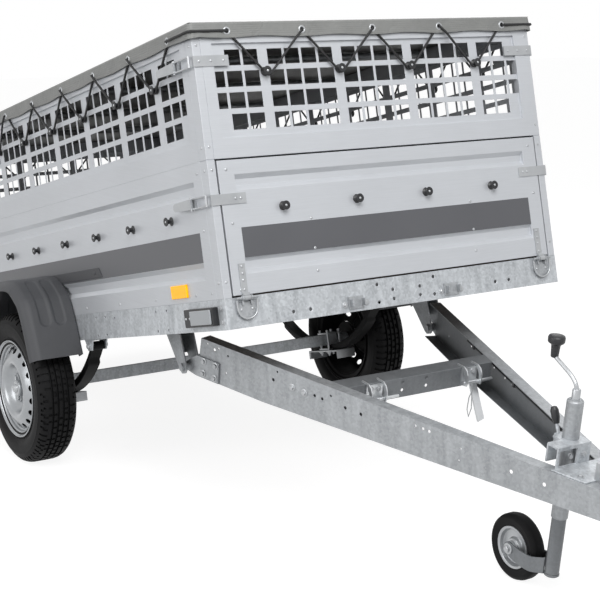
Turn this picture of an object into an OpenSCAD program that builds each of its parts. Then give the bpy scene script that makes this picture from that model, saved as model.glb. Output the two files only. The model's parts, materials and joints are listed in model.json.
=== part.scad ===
// Single-axle tipping box trailer with mesh sides and a flat cover, on its jockey wheel.
// Millimetres, +X towards the coupling, +Y to the left, +Z up, standing on z = 0.

/* [Stance] */
// Angle that the bed is tipped open from the drawbar
tip_deg = 20.8; // [0:0.1:30]
// Angle that the drawbar points down on its jockey wheel
nose_deg = 8.45; // [0:0.05:12]

/* [Bed frame] */
// Length of the bed over its end beams
bed_l = 2780; // [2200:5:3200]
// Width of the bed over its side rails
bed_w = 1290; // [1100:5:1600]
// Height of the side rails and end beams
rail_h = 92; // [70:1:130]
// Width of the rail and beam flanges
rail_flange = 45; // [30:1:60]
// Sheet of the rails, beams and cross members
rail_t = 3; // [2:0.5:5]
// Thickness of the plywood floor
floor_t = 12; // [6:1:21]
// Width of one floor cross member
cross_w = 80; // [50:1:100]

/* [Boards and mesh] */
// Height of the sheet boards
board_h = 411; // [300:1:500]
// Depth of the boards, posts and mesh bands
wall = 25; // [20:1:32]
// Sheet of the boards and the mesh
skin = 2; // [1:0.5:3]
// Depth of the pressed grooves in the boards
groove_d = 11; // [5:0.5:15]
// Width of a board's upright end fold
stile_w = 55; // [40:1:70]
// Width of a corner post seen from the end
post_w = 27; // [20:1:34]
// Length of a corner post seen from the side
post_l = 45; // [35:1:49]
// Running gap round a drop gate
gate_gap = 5; // [5:0.5:10]
// Height of the mesh sides
mesh_h = 400; // [380:1:500]
// Height of the folded bands above and below the mesh
band_h = 60; // [40:1:60]
// Width of the upright folds at the ends of the mesh
mesh_stile = 38; // [30:1:45]
// How far the mesh lies behind its bands
mesh_in = 8; // [4:1:15]
// Width of a mesh hole
hole_w = 52; // [30:1:54]
// Height of a mesh hole
hole_h = 47; // [30:1:50]
// Width of a thin upright bar in the mesh
bar_w = 9; // [5:0.5:10]
// Height of a level bar in the mesh
bar_h = 17; // [10:0.5:18]
// Distance between the wide bars of a side
side_pitch = 279; // [270:1:300]
// Distance between the wide bars of an end
end_pitch = 270; // [270:1:320]

/* [Cover and cord knobs] */
// Thickness of the cover's plain solid
cover_t = 4; // [2:0.5:6]
// Height of the cover's hanging edge
skirt_h = 38; // [30:1:58]
// Diameter of the bows under the cover
bow_d = 25; // [16:1:32]
// Diameter of a cord knob's head
knob_d = 28; // [16:1:30]
// How far a cord knob stands out
knob_out = 22; // [12:1:24]
// Height of the knobs on the boards above the floor rail
board_knob_h = 256; // [220:1:290]
// Height of the knobs on the mesh above its lower edge
mesh_knob_h = 253; // [250:1:262]

/* [Axle and wheels] */
// Axle behind the middle of the bed
axle_aft = 25; // [0:5:200]
// Axle below the underside of the bed
axle_drop = 152; // [140:1:200]
// Side of the square axle tube
axle_tube = 45; // [35:1:60]
// Wheel middles out from the side of the bed
wheel_gap = 90; // [90:1:130]
// Radius of the tyre
tyre_r = 280; // [260:1:310]
// Width of the tyre
tyre_w = 152; // [140:1:162]
// Radius of the rim's flange
rim_r = 182; // [160:1:190]
// Diameter of the stub axle
stub_d = 40; // [30:1:50]
// Radial running fit of pins and bores
fit = 0.05; // [0.02:0.01:0.09]
// Width of a leaf spring
leaf_w = 45; // [35:1:50]
// Thickness of a leaf spring
leaf_t = 14; // [8:1:16]
// Half the distance between the spring eyes
leaf_half = 365; // [350:5:480]

/* [Mudguards] */
// Outer reach of a mudguard from the side of the bed
guard_out = 195; // [195:1:260]
// Thickness of the mudguard shell
guard_t = 4; // [3:0.5:6]
// Height of the mudguard's top above the axle
guard_top = 400; // [380:1:420]

/* [Drawbar] */
// Hinge behind the front of the bed
pivot_back = 545; // [450:5:650]
// Hinge below the underside of the bed
pivot_drop = 118; // [118:1:140]
// Outer face of an arm in from the side of the bed, at the hinge
arm_inset = 140; // [125:5:200]
// Top of the arms above the hinge
arm_up = 110; // [100:1:110]
// Depth of the arms at the rear
arm_h = 135; // [110:1:140]
// Depth of the arms at the nose
arm_nose_h = 83; // [60:1:100]
// Width of the arm flanges
arm_flange = 42; // [30:1:44]
// Sheet of the arms
arm_t = 3; // [2:0.5:5]
// Diameter of the hinge bolt
hinge_d = 16; // [12:1:20]
// Front face of the crossbar, ahead of the hinge
cross_fwd = 589; // [585:1:640]
// Height and depth of the crossbar
cross_h = 65; // [50:1:80]
// Diameter of the ball socket
ball_d = 50.4; // [50.2:0.1:50.8]
// Ball centre ahead of the hinge
ball_fwd = 1650; // [1620:5:1700]

/* [Jockey wheel] */
// Jockey tube behind the ball
leg_back = 392; // [360:1:450]
// Outer diameter of the jockey tube
tube_d = 48; // [46:1:60]
// Outer diameter of the sliding leg
leg_d = 42; // [38:1:44]
// Length of the jockey tube
tube_l = 354; // [300:1:420]
// Top of the jockey tube above the arms
tube_up = 171; // [140:1:200]
// Radius of the jockey wheel
jockey_r = 100; // [80:1:110]
// Width of the jockey wheel
jockey_w = 50; // [40:1:60]
// How far the jockey wheel trails behind its leg
trail = 150; // [145:1:170]

/* [Hidden] */
$fn = 64;
cut = 1;
bed_pitch = tip_deg - nose_deg;
half_w = bed_w / 2;
axle_back = bed_l / 2 + axle_aft;
latch_span = 0.29 * bed_w;
board_z = rail_h;
mesh_z = board_z + board_h;
top_z = mesh_z + mesh_h;
seat = 0.3;
cover_gap = 7;
cover_z = top_z + seat;
cover_top = cover_z + cover_t;
gate_w = bed_w - 2 * post_w - 2 * gate_gap;
panel_w = bed_w - 2 * post_w;
side_l = bed_l - 2 * post_l;

// The outer faces of the arms would meet just ahead of the ball
apex_fwd = ball_fwd + 12;
arm_deg = atan((half_w - arm_inset) / apex_fwd);
leg_fwd = ball_fwd - leg_back;

// Turns a point of the bed, or of the drawbar, into a distance and a height
function bed_pt(x, z) = [
    cos(bed_pitch) * x - sin(bed_pitch) * z,
    sin(bed_pitch) * x + cos(bed_pitch) * z
];
function bar_pt(x, z) = [
    cos(nose_deg) * x + sin(nose_deg) * z,
    -sin(nose_deg) * x + cos(nose_deg) * z
];

// The bed stands on its wheels, and the origin is under the middle of the whole length
head_r = 38;
head_top = arm_up + 66;
bed_z = tyre_r - bed_pt(-axle_back, -axle_drop)[1];
pivot_pt = bed_pt(-pivot_back, -pivot_drop);
nose_x = pivot_pt[0] + bar_pt(ball_fwd + head_r, head_top)[0];
tail_x = bed_pt(-bed_l - cover_gap - cover_t, cover_top)[0];
bed_x = -(nose_x + tail_x) / 2;
pivot = [pivot_pt[0] + bed_x, 0, pivot_pt[1] + bed_z];

// The leg is run out until the jockey wheel meets the ground
hub_fwd = leg_fwd - trail;
hub_up = (jockey_r - pivot[2] + sin(nose_deg) * hub_fwd) / cos(nose_deg);
leg_end = hub_up - 10;
tube_top = arm_up + tube_up;
tube_end = tube_top - tube_l;

// Grooves of a board: lower edge, upper edge, as heights in the board
grooves = [[61, 113], [board_h - 102, board_h - 54]];
groove_lip = 14;

// Outer face of an arm from the middle line, and a place along its web
function arm_y(fwd) = (apex_fwd - fwd) * tan(arm_deg);
function arm_s(fwd) = -(apex_fwd - fwd) / cos(arm_deg);
function arm_in(fwd) = arm_y(fwd) - arm_flange / cos(arm_deg);
arm_rear = 30;
arm_rear_rake = 10;
arm_taper = 311;
arm_front = apex_fwd - 148;

// Knob and wide bar places along a side, and across an end
side_bars = [for (i = [-4 : 4]) i * side_pitch];
end_bars = [for (i = [-1.5 : 1 : 1.5]) i * end_pitch];

// Gate hinge: pin ahead of the beam's face and below its top, places across the end
pin_out = 12;
pin_z = rail_h - 4;
pin_d = 8;
knuckle_d = 16;
knuckle_w = 22;
hinge_y = half_w - 70;

// Drawbar hinge: sleeve on the plate and the two cheeks beside it
sleeve_w = 38;
sleeve_y = arm_y(0) - 5;
cheek_gap = 3;
cheek_t = 5;
plate_t = 6;

// Wheel and spring places
wheel_y = half_w + wheel_gap;
leaf_y = half_w - 37;
leaf_seat = 0.5;
leaf_z = -axle_drop - axle_tube / 2 - leaf_t - leaf_seat;
eye_z = -24;
leaf_sag = eye_z - leaf_z - leaf_t / 2;
leaf_r = (leaf_half * leaf_half + leaf_sag * leaf_sag) / (2 * leaf_sag);

zinc = "#B4B8B8";
sheet_grey = "#C6C8C8";
black = "#242426";

// Places: the tipped bed, the drawbar at its hinge, one side, and the rear end

module at_bed() {
    translate([bed_x, 0, bed_z]) rotate([0, -bed_pitch, 0]) children();
}

module at_bar() {
    translate(pivot) rotate([0, nose_deg, 0]) children();
}

module on_right() {
    mirror([0, 1, 0]) children();
}

module on_both() {
    children();
    on_right() children();
}

module at_rear() {
    translate([-bed_l, 0, 0]) mirror([1, 0, 0]) children();
}

module at_ends() {
    children();
    at_rear() children();
}

// A box from its low corner to its high corner
module span(low, high) {
    translate(low) cube(high - low);
}

// A round bar across the trailer, along +Y from y0 to y1
module across(d, y0, y1) {
    translate([0, y0, 0]) rotate([-90, 0, 0]) cylinder(d = d, h = y1 - y0);
}

// A plate standing along the trailer, from y0 to y1, from an outline of lengths and heights
module upright(y0, y1) {
    translate([0, y1, 0]) rotate([90, 0, 0]) linear_extrude(y1 - y0) children();
}

// Drawbar

module arm() {
    bottom = arm_up - arm_h;
    nose_bottom = arm_up - arm_nose_h;
    translate([apex_fwd, 0, 0]) rotate([0, 0, -arm_deg]) difference() {
        upright(-arm_flange, 0) polygon([
            [arm_s(arm_rear + arm_rear_rake), arm_up],
            [arm_s(arm_front), arm_up],
            [arm_s(arm_front), nose_bottom],
            [arm_s(arm_taper), bottom],
            [arm_s(arm_rear), bottom]
        ]);
        upright(-arm_flange - cut, -arm_t) polygon([
            [arm_s(0), arm_up - arm_t],
            [arm_s(arm_front) + cut, arm_up - arm_t],
            [arm_s(arm_front) + cut, nose_bottom + arm_t],
            [arm_s(arm_taper), bottom + arm_t],
            [arm_s(0), bottom + arm_t]
        ]);
    }
}

module arm_right() {
    color(zinc) at_bar() on_right() arm();
}

module arm_left() {
    color(zinc) at_bar() arm();
}

// Bolted plate on the outside of each arm, with the sleeve that turns on the hinge bolt
module hinge_plates() {
    plate_fwd = 126;
    color(zinc) at_bar() on_both() difference() {
        union() {
            translate([apex_fwd, 0, 0]) rotate([0, 0, -arm_deg]) upright(0, plate_t) polygon([
                [arm_s(plate_fwd), -23],
                [arm_s(plate_fwd), 48],
                [arm_s(arm_rear), 48],
                [arm_s(-14), 14],
                [arm_s(-14), -14],
                [arm_s(arm_rear), -23]
            ]);
            translate([0, sleeve_y, 0]) across(hinge_d + 12, -sleeve_w / 2 + 7, sleeve_w / 2 + 7);
        }
        translate([0, sleeve_y, 0]) across(hinge_d + 2 * fit, -sleeve_w, sleeve_w + 20);
    }
}

module crossbar() {
    rear = cross_fwd - cross_h;
    color(zinc) at_bar() translate([0, 0, arm_up - cross_h]) difference() {
        linear_extrude(cross_h) polygon([
            [rear, -arm_in(rear)],
            [cross_fwd, -arm_in(cross_fwd)],
            [cross_fwd, arm_in(cross_fwd)],
            [rear, arm_in(rear)]
        ]);
        span([rear + arm_t, -half_w, -cut], [cross_fwd - arm_t, half_w, cross_h - arm_t]);
    }
}

// Over-centre latches on the crossbar: base, arched bail plates, long pin and lever hanging open
module tip_latches() {
    base_t = 5;
    half = 26;
    cheek = 4;
    pin_low = 48;
    lever_w = 26;
    lever_l = 152;
    color(zinc) at_bar() for (side = [-1, 1])
    translate([cross_fwd, side * latch_span / 2, arm_up]) {
        span([0, -half - cheek, -62], [base_t, half + cheek, -4]);
        for (face = [-half - cheek, half]) upright(face, face + cheek) polygon([
            [-24, 0], [-24, 5], [10, 5], [25, -4], [34, -20], [35, -42], [31, -56],
            [0, -60], [0, -46], [22, -42], [21, -26], [13, -13], [2, 0]
        ]);
        translate([18, 0, -pin_low]) {
            across(10, -half - cheek - 4, half + 58);
            translate([0, 6, 0]) rotate([-20, 0, 0]) span([-3, -lever_w / 2, -lever_l], [4, lever_w / 2, 0]);
        }
    }
}

plate_rear = leg_fwd + 46;
plate_front = leg_fwd + 150;
nose_t = 4;
bracket_h = 62;

// Plate on top of the arms at the nose
module nose_plate() {
    edge = 6;
    color(zinc) at_bar() translate([0, 0, arm_up]) linear_extrude(nose_t) polygon([
        [plate_rear, -arm_y(plate_rear) + edge],
        [plate_front, -arm_y(plate_front) + edge],
        [plate_front, arm_y(plate_front) - edge],
        [plate_rear, arm_y(plate_rear) - edge]
    ]);
}

// Folded bracket across the arms that the jockey tube passes through, with its clamp boss and rod
clamp_back = 38;
clamp_lean = 25;
clamp_rod = 64;
module jockey_clamp() {
    sheet = 6;
    front = plate_rear - leg_fwd;
    half = 84;
    boss = 26;
    color(zinc) at_bar() translate([leg_fwd, 0, arm_up]) {
        difference() {
            union() {
                span([front - sheet, -half, 0], [front, half, bracket_h]);
                span([0, -half, bracket_h - sheet], [front, half, bracket_h]);
                span([-tube_d / 2 - 8, -36, bracket_h - sheet], [0, 36, bracket_h]);
                span([-clamp_back - boss / 2, -boss / 2, 26], [0, boss / 2, bracket_h - sheet]);
            }
            translate([0, 0, -cut]) cylinder(d = tube_d + 2 * fit, h = bracket_h + 2 * cut);
        }
        translate([-clamp_back, 0, 34]) rotate([0, -clamp_lean, 0]) cylinder(d = 10, h = clamp_rod);
    }
}

// Grip on the clamp rod
module clamp_lever() {
    color(black) at_bar() translate([leg_fwd - clamp_back, 0, arm_up + 34]) rotate([0, -clamp_lean, 0])
    difference() {
        rotate_extrude() polygon([
            [0, clamp_rod - 14], [8, clamp_rod - 14], [12, clamp_rod + 4], [12, clamp_rod + 24],
            [8, clamp_rod + 34], [0, clamp_rod + 36]
        ]);
        cylinder(d = 10 + 2 * fit, h = clamp_rod + fit);
    }
}

module jockey_tube() {
    color(zinc) at_bar() translate([leg_fwd, 0, 0]) difference() {
        union() {
            translate([0, 0, tube_end]) cylinder(d = tube_d, h = tube_l);
            translate([0, 0, tube_top]) cylinder(d1 = tube_d, d2 = tube_d - 22, h = 12);
        }
        translate([0, 0, tube_end - cut]) cylinder(d = leg_d + 2 * fit, h = tube_l - 40 + cut);
    }
}

// Crank: spindle out of the tube's cap, sloped arm and grip pin
crank_base = 50;
crank_back = 104;
crank_rise = 42;
module jockey_crank() {
    rod = 14;
    slope = atan2(crank_rise, crank_back);
    color(zinc) at_bar() translate([leg_fwd, 0, tube_top + 12]) {
        cylinder(d = rod + 6, h = 14);
        cylinder(d = rod, h = crank_base - 12);
        translate([0, 0, crank_base - 12]) {
            sphere(d = rod + 3);
            rotate([0, -90 + slope, 0]) cylinder(d = rod, h = norm([crank_back, crank_rise]));
            translate([-crank_back, 0, crank_rise]) {
                sphere(d = rod + 3);
                cylinder(d = rod - 2, h = 22);
            }
        }
    }
}

module crank_knob() {
    color(black) at_bar()
    translate([leg_fwd - crank_back, 0, tube_top + crank_base + crank_rise + 22]) rotate_extrude() polygon([
        [0, 0], [11, 0], [13, 14], [21, 24], [21, 32], [15, 38], [0, 40]
    ]);
}

// Pressed ball coupling on top of the nose, its socket open below
module coupling_head() {
    tail = plate_front - 8;
    tail_w = 70;
    tail_h = 54;
    shell = 5;
    ball_up = arm_up + 22;
    color(zinc) at_bar() difference() {
        union() {
            translate([ball_fwd, 0, arm_up - 8]) cylinder(r = head_r, h = head_top - arm_up - 10);
            translate([ball_fwd, 0, head_top - 18]) cylinder(r1 = head_r, r2 = head_r - 14, h = 18);
            span([tail, -tail_w / 2, arm_up], [ball_fwd, tail_w / 2, arm_up + tail_h]);
        }
        span([tail - cut, -tail_w / 2 + shell, arm_up - cut],
            [ball_fwd - head_r, tail_w / 2 - shell, arm_up + tail_h - shell]);
        translate([ball_fwd, 0, ball_up]) sphere(d = ball_d);
        translate([ball_fwd, 0, arm_up - 10]) cylinder(d = ball_d, h = ball_up - arm_up + 10);
        span([tail - cut, -tail_w, arm_up - cut], [plate_front + 0.5, tail_w, arm_up + nose_t + 0.5]);
    }
}

module coupling_lever() {
    foot = ball_fwd - head_r - 34;
    top = arm_up + 54;
    color(zinc) at_bar() {
        span([foot, -14, top], [foot + 30, 14, top + 20]);
        translate([foot + 15, 0, top + 16]) rotate([0, -72, 0]) {
            cylinder(d = 20, h = 130);
            translate([0, 0, 130]) sphere(d = 20);
        }
    }
}

// Lead clipped along the inside of the left arm
module drawbar_cable() {
    cable_d = 10;
    rear = 330;
    front = arm_front - 94;
    run = (front - rear) / cos(arm_deg);
    color(black) at_bar() translate([apex_fwd, 0, 0]) rotate([0, 0, -arm_deg])
    translate([arm_s(rear), -arm_t - cable_d / 2 - seat, arm_up - 34]) {
        rotate([0, 90, 0]) cylinder(d = cable_d, h = run);
        for (i = [0 : 3]) translate([60 + i * (run - 120) / 3, 0, 0])
            span([-6, -cable_d / 2 - 2, -8], [6, cable_d / 2 + seat, 8]);
    }
}

// Bed frame

module end_beam() {
    color(zinc) difference() {
        span([-rail_flange, -half_w, 0], [0, half_w, rail_h]);
        span([-rail_flange - cut, -half_w + rail_t, rail_t], [-rail_t, half_w - rail_t, rail_h - rail_t]);
    }
}

module front_beam() {
    at_bed() end_beam();
}

module rear_beam() {
    at_bed() at_rear() end_beam();
}

module rail() {
    color(zinc) difference() {
        span([-bed_l + rail_flange, half_w - rail_flange, 0], [-rail_flange, half_w, rail_h]);
        span([-bed_l, half_w - rail_flange - cut, rail_t], [0, half_w - rail_t, rail_h - rail_t]);
    }
}

module rail_right() {
    at_bed() on_right() rail();
}

module rail_left() {
    at_bed() rail();
}

// Middles of the floor cross members behind the front: hinge, spring ends, axle, tail
cross_places = [
    pivot_back + 45,
    axle_back - leaf_half + 60,
    axle_back + 60,
    axle_back + leaf_half - 60,
    bed_l - 330
];

module cross_members() {
    reach = half_w - rail_t;
    color(zinc) at_bed() for (place = cross_places) translate([-place, 0, rail_t]) difference() {
        span([-cross_w / 2, -reach, 0], [cross_w / 2, reach, rail_h - 2 * rail_t]);
        span([-cross_w / 2 + rail_t, -reach - cut, -cut],
            [cross_w / 2 - rail_t, reach + cut, rail_h - 3 * rail_t]);
    }
}

module floor_board() {
    inset = wall + gate_gap;
    color("#6E5236") at_bed()
    span([-bed_l + inset, -half_w + post_w + 1, rail_h], [-inset, half_w - post_w - 1, rail_h + floor_t]);
}

// Folded brackets under the first cross member: two cheeks, a top plate, a back fold and the bolt
module hinge_brackets() {
    top = pivot_drop + rail_t;
    inner = sleeve_y + 7 - sleeve_w / 2 - cheek_gap;
    outer = sleeve_y + 7 + sleeve_w / 2 + cheek_gap;
    head_t = 9;
    color(zinc) at_bed() on_both() translate([-pivot_back, 0, -pivot_drop]) {
        for (face = [inner - cheek_t, outer]) upright(face, face + cheek_t) polygon([
            [-95, top], [5, top], [22, 6], [22, -10], [10, -22], [-12, -22], [-22, -12]
        ]);
        span([-95, inner - cheek_t, top - cheek_t], [5, outer + cheek_t, top]);
        upright(inner, outer) polygon([[-95, top], [-95 + cheek_t, top], [-52, 44], [-57, 44]]);
        across(hinge_d, inner - cheek_t - head_t, outer + cheek_t + head_t);
        across(hinge_d + 10, inner - cheek_t - head_t, inner - cheek_t);
        across(hinge_d + 10, outer + cheek_t, outer + cheek_t + head_t);
    }
}

// Boards: a folded sheet with two pressed grooves, between upright end folds.
// Lies along X with its outer face at y = 0 and its inside towards +Y.

function groove_face(shift) = [
    for (g = grooves) each [
        [shift, g[0]],
        [groove_d + shift, g[0] + groove_lip],
        [groove_d + shift, g[1] - groove_lip],
        [shift, g[1]]
    ]
];
function reversed(list) = [for (i = [len(list) - 1 : -1 : 0]) list[i]];

module board(length, height) {
    run = length - 2 * stile_w;
    rotate([90, 0, 90]) linear_extrude(run, center = true) polygon(concat(
        [[0, 0]],
        groove_face(0),
        [[0, height], [wall, height], [wall, height - skin], [skin, height - skin]],
        reversed(groove_face(skin)),
        [[skin, skin], [wall, skin], [wall, 0]]
    ));
    for (end = [-1, 1]) translate([end * (length - stile_w) / 2, wall / 2, height / 2]) difference() {
        cube([stile_w, wall, height], center = true);
        cube([stile_w - 2 * skin, wall - 2 * skin, height - 2 * skin], center = true);
    }
}

module side_board() {
    color(sheet_grey) translate([-bed_l / 2, half_w, board_z]) rotate([0, 0, 180]) board(side_l, board_h);
}

module side_board_right() {
    at_bed() on_right() side_board();
}

module side_board_left() {
    at_bed() side_board();
}

// Corner posts from the rail to the top, with the joint line between board and mesh
module posts() {
    line = 2;
    post_set = 1;
    color(sheet_grey) at_ends() difference() {
        span([-post_l, half_w - post_w, board_z], [-post_set, half_w, top_z]);
        span([-post_set - line, half_w - post_w - cut, mesh_z - line], [cut, half_w + cut, mesh_z]);
        span([-post_l - cut, half_w - line, mesh_z - line], [cut, half_w + cut, mesh_z]);
    }
}

module posts_right() {
    at_bed() on_right() posts();
}

module posts_left() {
    at_bed() posts();
}

// Mesh sides: a perforated sheet between two folded bands, in bays of four holes a row.
// The end bays have a third hole in the two middle rows only.

rows = 4;
hole_pitch = hole_w + bar_w;
row_pitch = hole_h + bar_h;
row_low = band_h + 23;

module hole(x, row) {
    translate([x - hole_w / 2, row_low + row * row_pitch]) square([hole_w, hole_h]);
}

module mesh_holes(bars) {
    first = (bars[1] - bars[0]) / 2 - 1.5 * hole_pitch;
    last = len(bars) - 1;
    for (row = [0 : rows - 1]) {
        for (i = [0 : last - 1], k = [0 : 3]) hole(bars[i] + first + k * hole_pitch, row);
        for (k = [0 : (row == 0 || row == rows - 1) ? 1 : 2]) {
            hole(bars[0] - first - k * hole_pitch, row);
            hole(bars[last] + first + k * hole_pitch, row);
        }
    }
}

module mesh(length, bars) {
    run = length - 2 * mesh_stile;
    sheet = run + 2 * skin;
    translate([0, mesh_in + skin, 0]) rotate([90, 0, 0]) linear_extrude(skin) difference() {
        translate([-sheet / 2, band_h - skin]) square([sheet, mesh_h - 2 * band_h + 2 * skin]);
        mesh_holes(bars);
    }
    for (low = [0, mesh_h - band_h]) difference() {
        span([-run / 2, 0, low], [run / 2, wall, low + band_h]);
        span([-run / 2 - cut, skin, low + skin], [run / 2 + cut, wall - skin, low + band_h - skin]);
    }
    for (end = [-1, 1]) translate([end * (length - mesh_stile) / 2, wall / 2, mesh_h / 2]) difference() {
        cube([mesh_stile, wall, mesh_h], center = true);
        cube([mesh_stile - 2 * skin, wall - 2 * skin, mesh_h - 2 * skin], center = true);
    }
}

module mesh_side() {
    color(sheet_grey) translate([-bed_l / 2, half_w, mesh_z]) rotate([0, 0, 180]) mesh(side_l, side_bars);
}

module mesh_right() {
    at_bed() on_right() mesh_side();
}

module mesh_left() {
    at_bed() mesh_side();
}

module mesh_end() {
    color(sheet_grey) translate([0, 0, mesh_z]) rotate([0, 0, 90]) mesh(panel_w, end_bars);
}

module mesh_front() {
    at_bed() mesh_end();
}

module mesh_rear() {
    at_bed() at_rear() mesh_end();
}

// Cover: a flat sheet with a hanging edge all round
module cover() {
    out = cover_gap + cover_t;
    color("#8C8E8E") at_bed() difference() {
        span([-bed_l - out, -half_w - out, cover_top - skirt_h], [out, half_w + out, cover_top]);
        span([-bed_l - cover_gap, -half_w - cover_gap, cover_top - skirt_h - cut],
            [cover_gap, half_w + cover_gap, cover_z]);
    }
}

// Bows across the bed under the cover, held between the upper bands of the sides
module cover_bows() {
    bows = 4;
    reach = half_w - wall;
    color(zinc) at_bed() for (i = [1 : bows])
        translate([-bed_l * i / (bows + 1), 0, top_z - bow_d / 2 - skin]) across(bow_d, -reach, reach);
}

// A cord knob standing out of a face at y = 0 towards -Y
module knob() {
    head = knob_out * 0.45;
    rotate([90, 0, 0]) {
        cylinder(d = knob_d * 0.58, h = knob_out);
        cylinder(d = knob_d * 0.8, h = 2.5);
        translate([0, 0, knob_out - head]) cylinder(d1 = knob_d, d2 = knob_d * 0.8, h = head);
    }
}

module side_knob(bar, height) {
    translate([-bed_l / 2 + bar, -half_w, height]) knob();
}

module end_knob(bar, height) {
    translate([0, bar, height]) rotate([0, 0, 90]) knob();
}

// Knobs on the side boards and on all four mesh sides
module cord_knobs() {
    color(black) at_bed() {
        on_both() for (bar = side_bars) {
            side_knob(bar, board_z + board_knob_h);
            translate([0, mesh_in, 0]) side_knob(bar, mesh_z + mesh_knob_h);
        }
        at_ends() for (bar = end_bars) translate([-mesh_in, 0, 0]) end_knob(bar, mesh_z + mesh_knob_h);
    }
}

// Over-centre clips on the sides that hold the gates and the mesh ends at the corners,
// by their heights above the rail, with the straps that they draw on
clip_rows = [291, 700];
clip_l = 212;
clip_h = 40;
clip_out = 20;
strap_t = 3;
tab_h = 32;
tab_in = 88;

module tab(height) {
    translate([0, half_w, rail_h + height])
        span([0, -post_w - tab_in, -tab_h / 2], [strap_t, 4, tab_h / 2]);
}

// Base that reaches down to its sheet, pin, wire bail towards the corner and tapered lever
module clip(deep) {
    pin = clip_l / 2;
    wire = 6;
    reach = clip_h / 2 - wire / 2;
    bail_end = 8 + wire / 2;
    span([-pin - 35, -deep, -clip_h / 2 + 4], [-pin + 15, 8, clip_h / 2 - 4]);
    translate([-pin, 12, -clip_h / 2]) cylinder(d = 10, h = clip_h);
    for (side = [-1, 1]) translate([-pin, 12, side * (reach - 2)])
        rotate([0, 90, 0]) cylinder(d = wire, h = pin - bail_end);
    translate([-bail_end, 12, -reach]) cylinder(d = wire + 2, h = 2 * reach);
    upright(14, clip_out) polygon([
        [-pin + 8, -clip_h / 2 + 4], [-pin + 8, clip_h / 2 - 4], [-clip_l + 8, 12], [-clip_l, 6],
        [-clip_l, -6], [-clip_l + 8, -12]
    ]);
}

module side_latches() {
    color(zinc) at_bed() on_both() at_ends() {
        for (row = [0, 1]) translate([0, half_w, rail_h + clip_rows[row]]) clip(row * mesh_in);
        tab(clip_rows[1]);
    }
}

// Hinge brackets of the gates on the end beams: round-ended plate, two ears and the pin
module gate_hinge_bracket() {
    ear_gap = 1;
    ear_t = 6;
    ear = knuckle_w / 2 + ear_gap;
    plate_w = 2 * (ear + ear_t) + 20;
    low = pin_z - 12 - plate_w / 2;
    span([0, -plate_w / 2, low], [4, plate_w / 2, pin_z - 12]);
    translate([0, 0, low]) rotate([0, 90, 0]) cylinder(d = plate_w, h = 4);
    for (side = [-1, 1]) translate([0, side * (ear + ear_t / 2), 0]) {
        span([0, -ear_t / 2, pin_z - 20], [pin_out, ear_t / 2, pin_z + 4]);
        translate([pin_out, 0, pin_z]) across(knuckle_d, -ear_t / 2, ear_t / 2);
    }
    translate([pin_out, 0, pin_z]) across(pin_d, -ear - ear_t - 19, ear + ear_t + 19);
}

module gate_hinges() {
    color(zinc) at_bed() on_both() at_ends() translate([0, hinge_y, 0]) gate_hinge_bracket();
}

// Forked catches on the front beam for the tip latches
module tip_hooks() {
    color(zinc) at_bed() on_both() translate([0, latch_span / 2, 28]) {
        span([0, -28, -20], [4, 28, 20]);
        for (side = [-1, 1]) span([4, side * 22 - 3, -12], [24, side * 22 + 3, 12]);
    }
}

// Gates: the same board as the sides, dropped about its lower pin

module gate_board() {
    color(sheet_grey) translate([0, 0, board_z + gate_gap]) rotate([0, 0, 90])
    board(gate_w, board_h - 2 * gate_gap);
}

module gate_straps() {
    strap_h = 98;
    color(zinc) on_both() {
        translate([0, hinge_y, 0]) difference() {
            union() {
                span([0, -knuckle_w / 2, board_z + gate_gap], [strap_t, knuckle_w / 2, board_z + strap_h]);
                span([0, -knuckle_w / 2, pin_z + 2], [pin_out, knuckle_w / 2, board_z + gate_gap + 6]);
                translate([pin_out, 0, pin_z]) across(knuckle_d, -knuckle_w / 2, knuckle_w / 2);
            }
            translate([pin_out, 0, pin_z]) across(pin_d + 2 * fit, -knuckle_w, knuckle_w);
        }
        tab(clip_rows[0]);
    }
}

module gate_knobs() {
    color(black) for (bar = end_bars) end_knob(bar, board_z + board_knob_h);
}

module front_gate() {
    at_bed() gate_board();
}

module front_gate_straps() {
    at_bed() gate_straps();
}

module front_gate_knobs() {
    at_bed() gate_knobs();
}

module tail_gate() {
    at_bed() at_rear() gate_board();
}

module tail_gate_straps() {
    at_bed() at_rear() gate_straps();
}

module tail_gate_knobs() {
    at_bed() at_rear() gate_knobs();
}

// Mudguards: a folded shell over the wheel with a lip, an inner flange and a tongue on the board

guard_foot = 325;
guard_foot_z = 104;
guard_knee = [282, guard_top - 98];
guard_turn = [232, guard_top - 48];
guard_bend = 168;

function guard_half(t) = [
    [guard_foot - t, guard_foot_z],
    [guard_knee[0] - t * 0.95, guard_knee[1] - t * 0.4],
    [guard_turn[0] - t * 0.7, guard_turn[1] - t * 0.75],
    [guard_bend - t * 0.35, guard_top - t]
];
function guard_line(t) = concat([for (p = guard_half(t)) [-p[0], p[1]]], reversed(guard_half(t)));

module guard_strip(y0, y1, deep) {
    upright(y0, y1) polygon(concat(guard_line(0), reversed(guard_line(deep))));
}

module mudguard() {
    lip = 26;
    tongue = 575;
    tongue_h = 36;
    color("#3A3B3D") translate([-axle_back, half_w, -axle_drop]) {
        guard_strip(guard_t, guard_out, guard_t);
        guard_strip(guard_out - guard_t, guard_out, lip);
        guard_strip(0, guard_t, lip + 14);
        upright(0, guard_t) polygon([
            [-tongue, guard_top - tongue_h + 8], [-tongue + 14, guard_top - tongue_h],
            [tongue - 14, guard_top - tongue_h], [tongue, guard_top - tongue_h + 8],
            [tongue - 22, guard_top - 2], [-tongue + 22, guard_top - 2]
        ]);
    }
}

module mudguard_right() {
    at_bed() on_right() mudguard();
}

module mudguard_left() {
    at_bed() mudguard();
}

// Running gear

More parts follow.
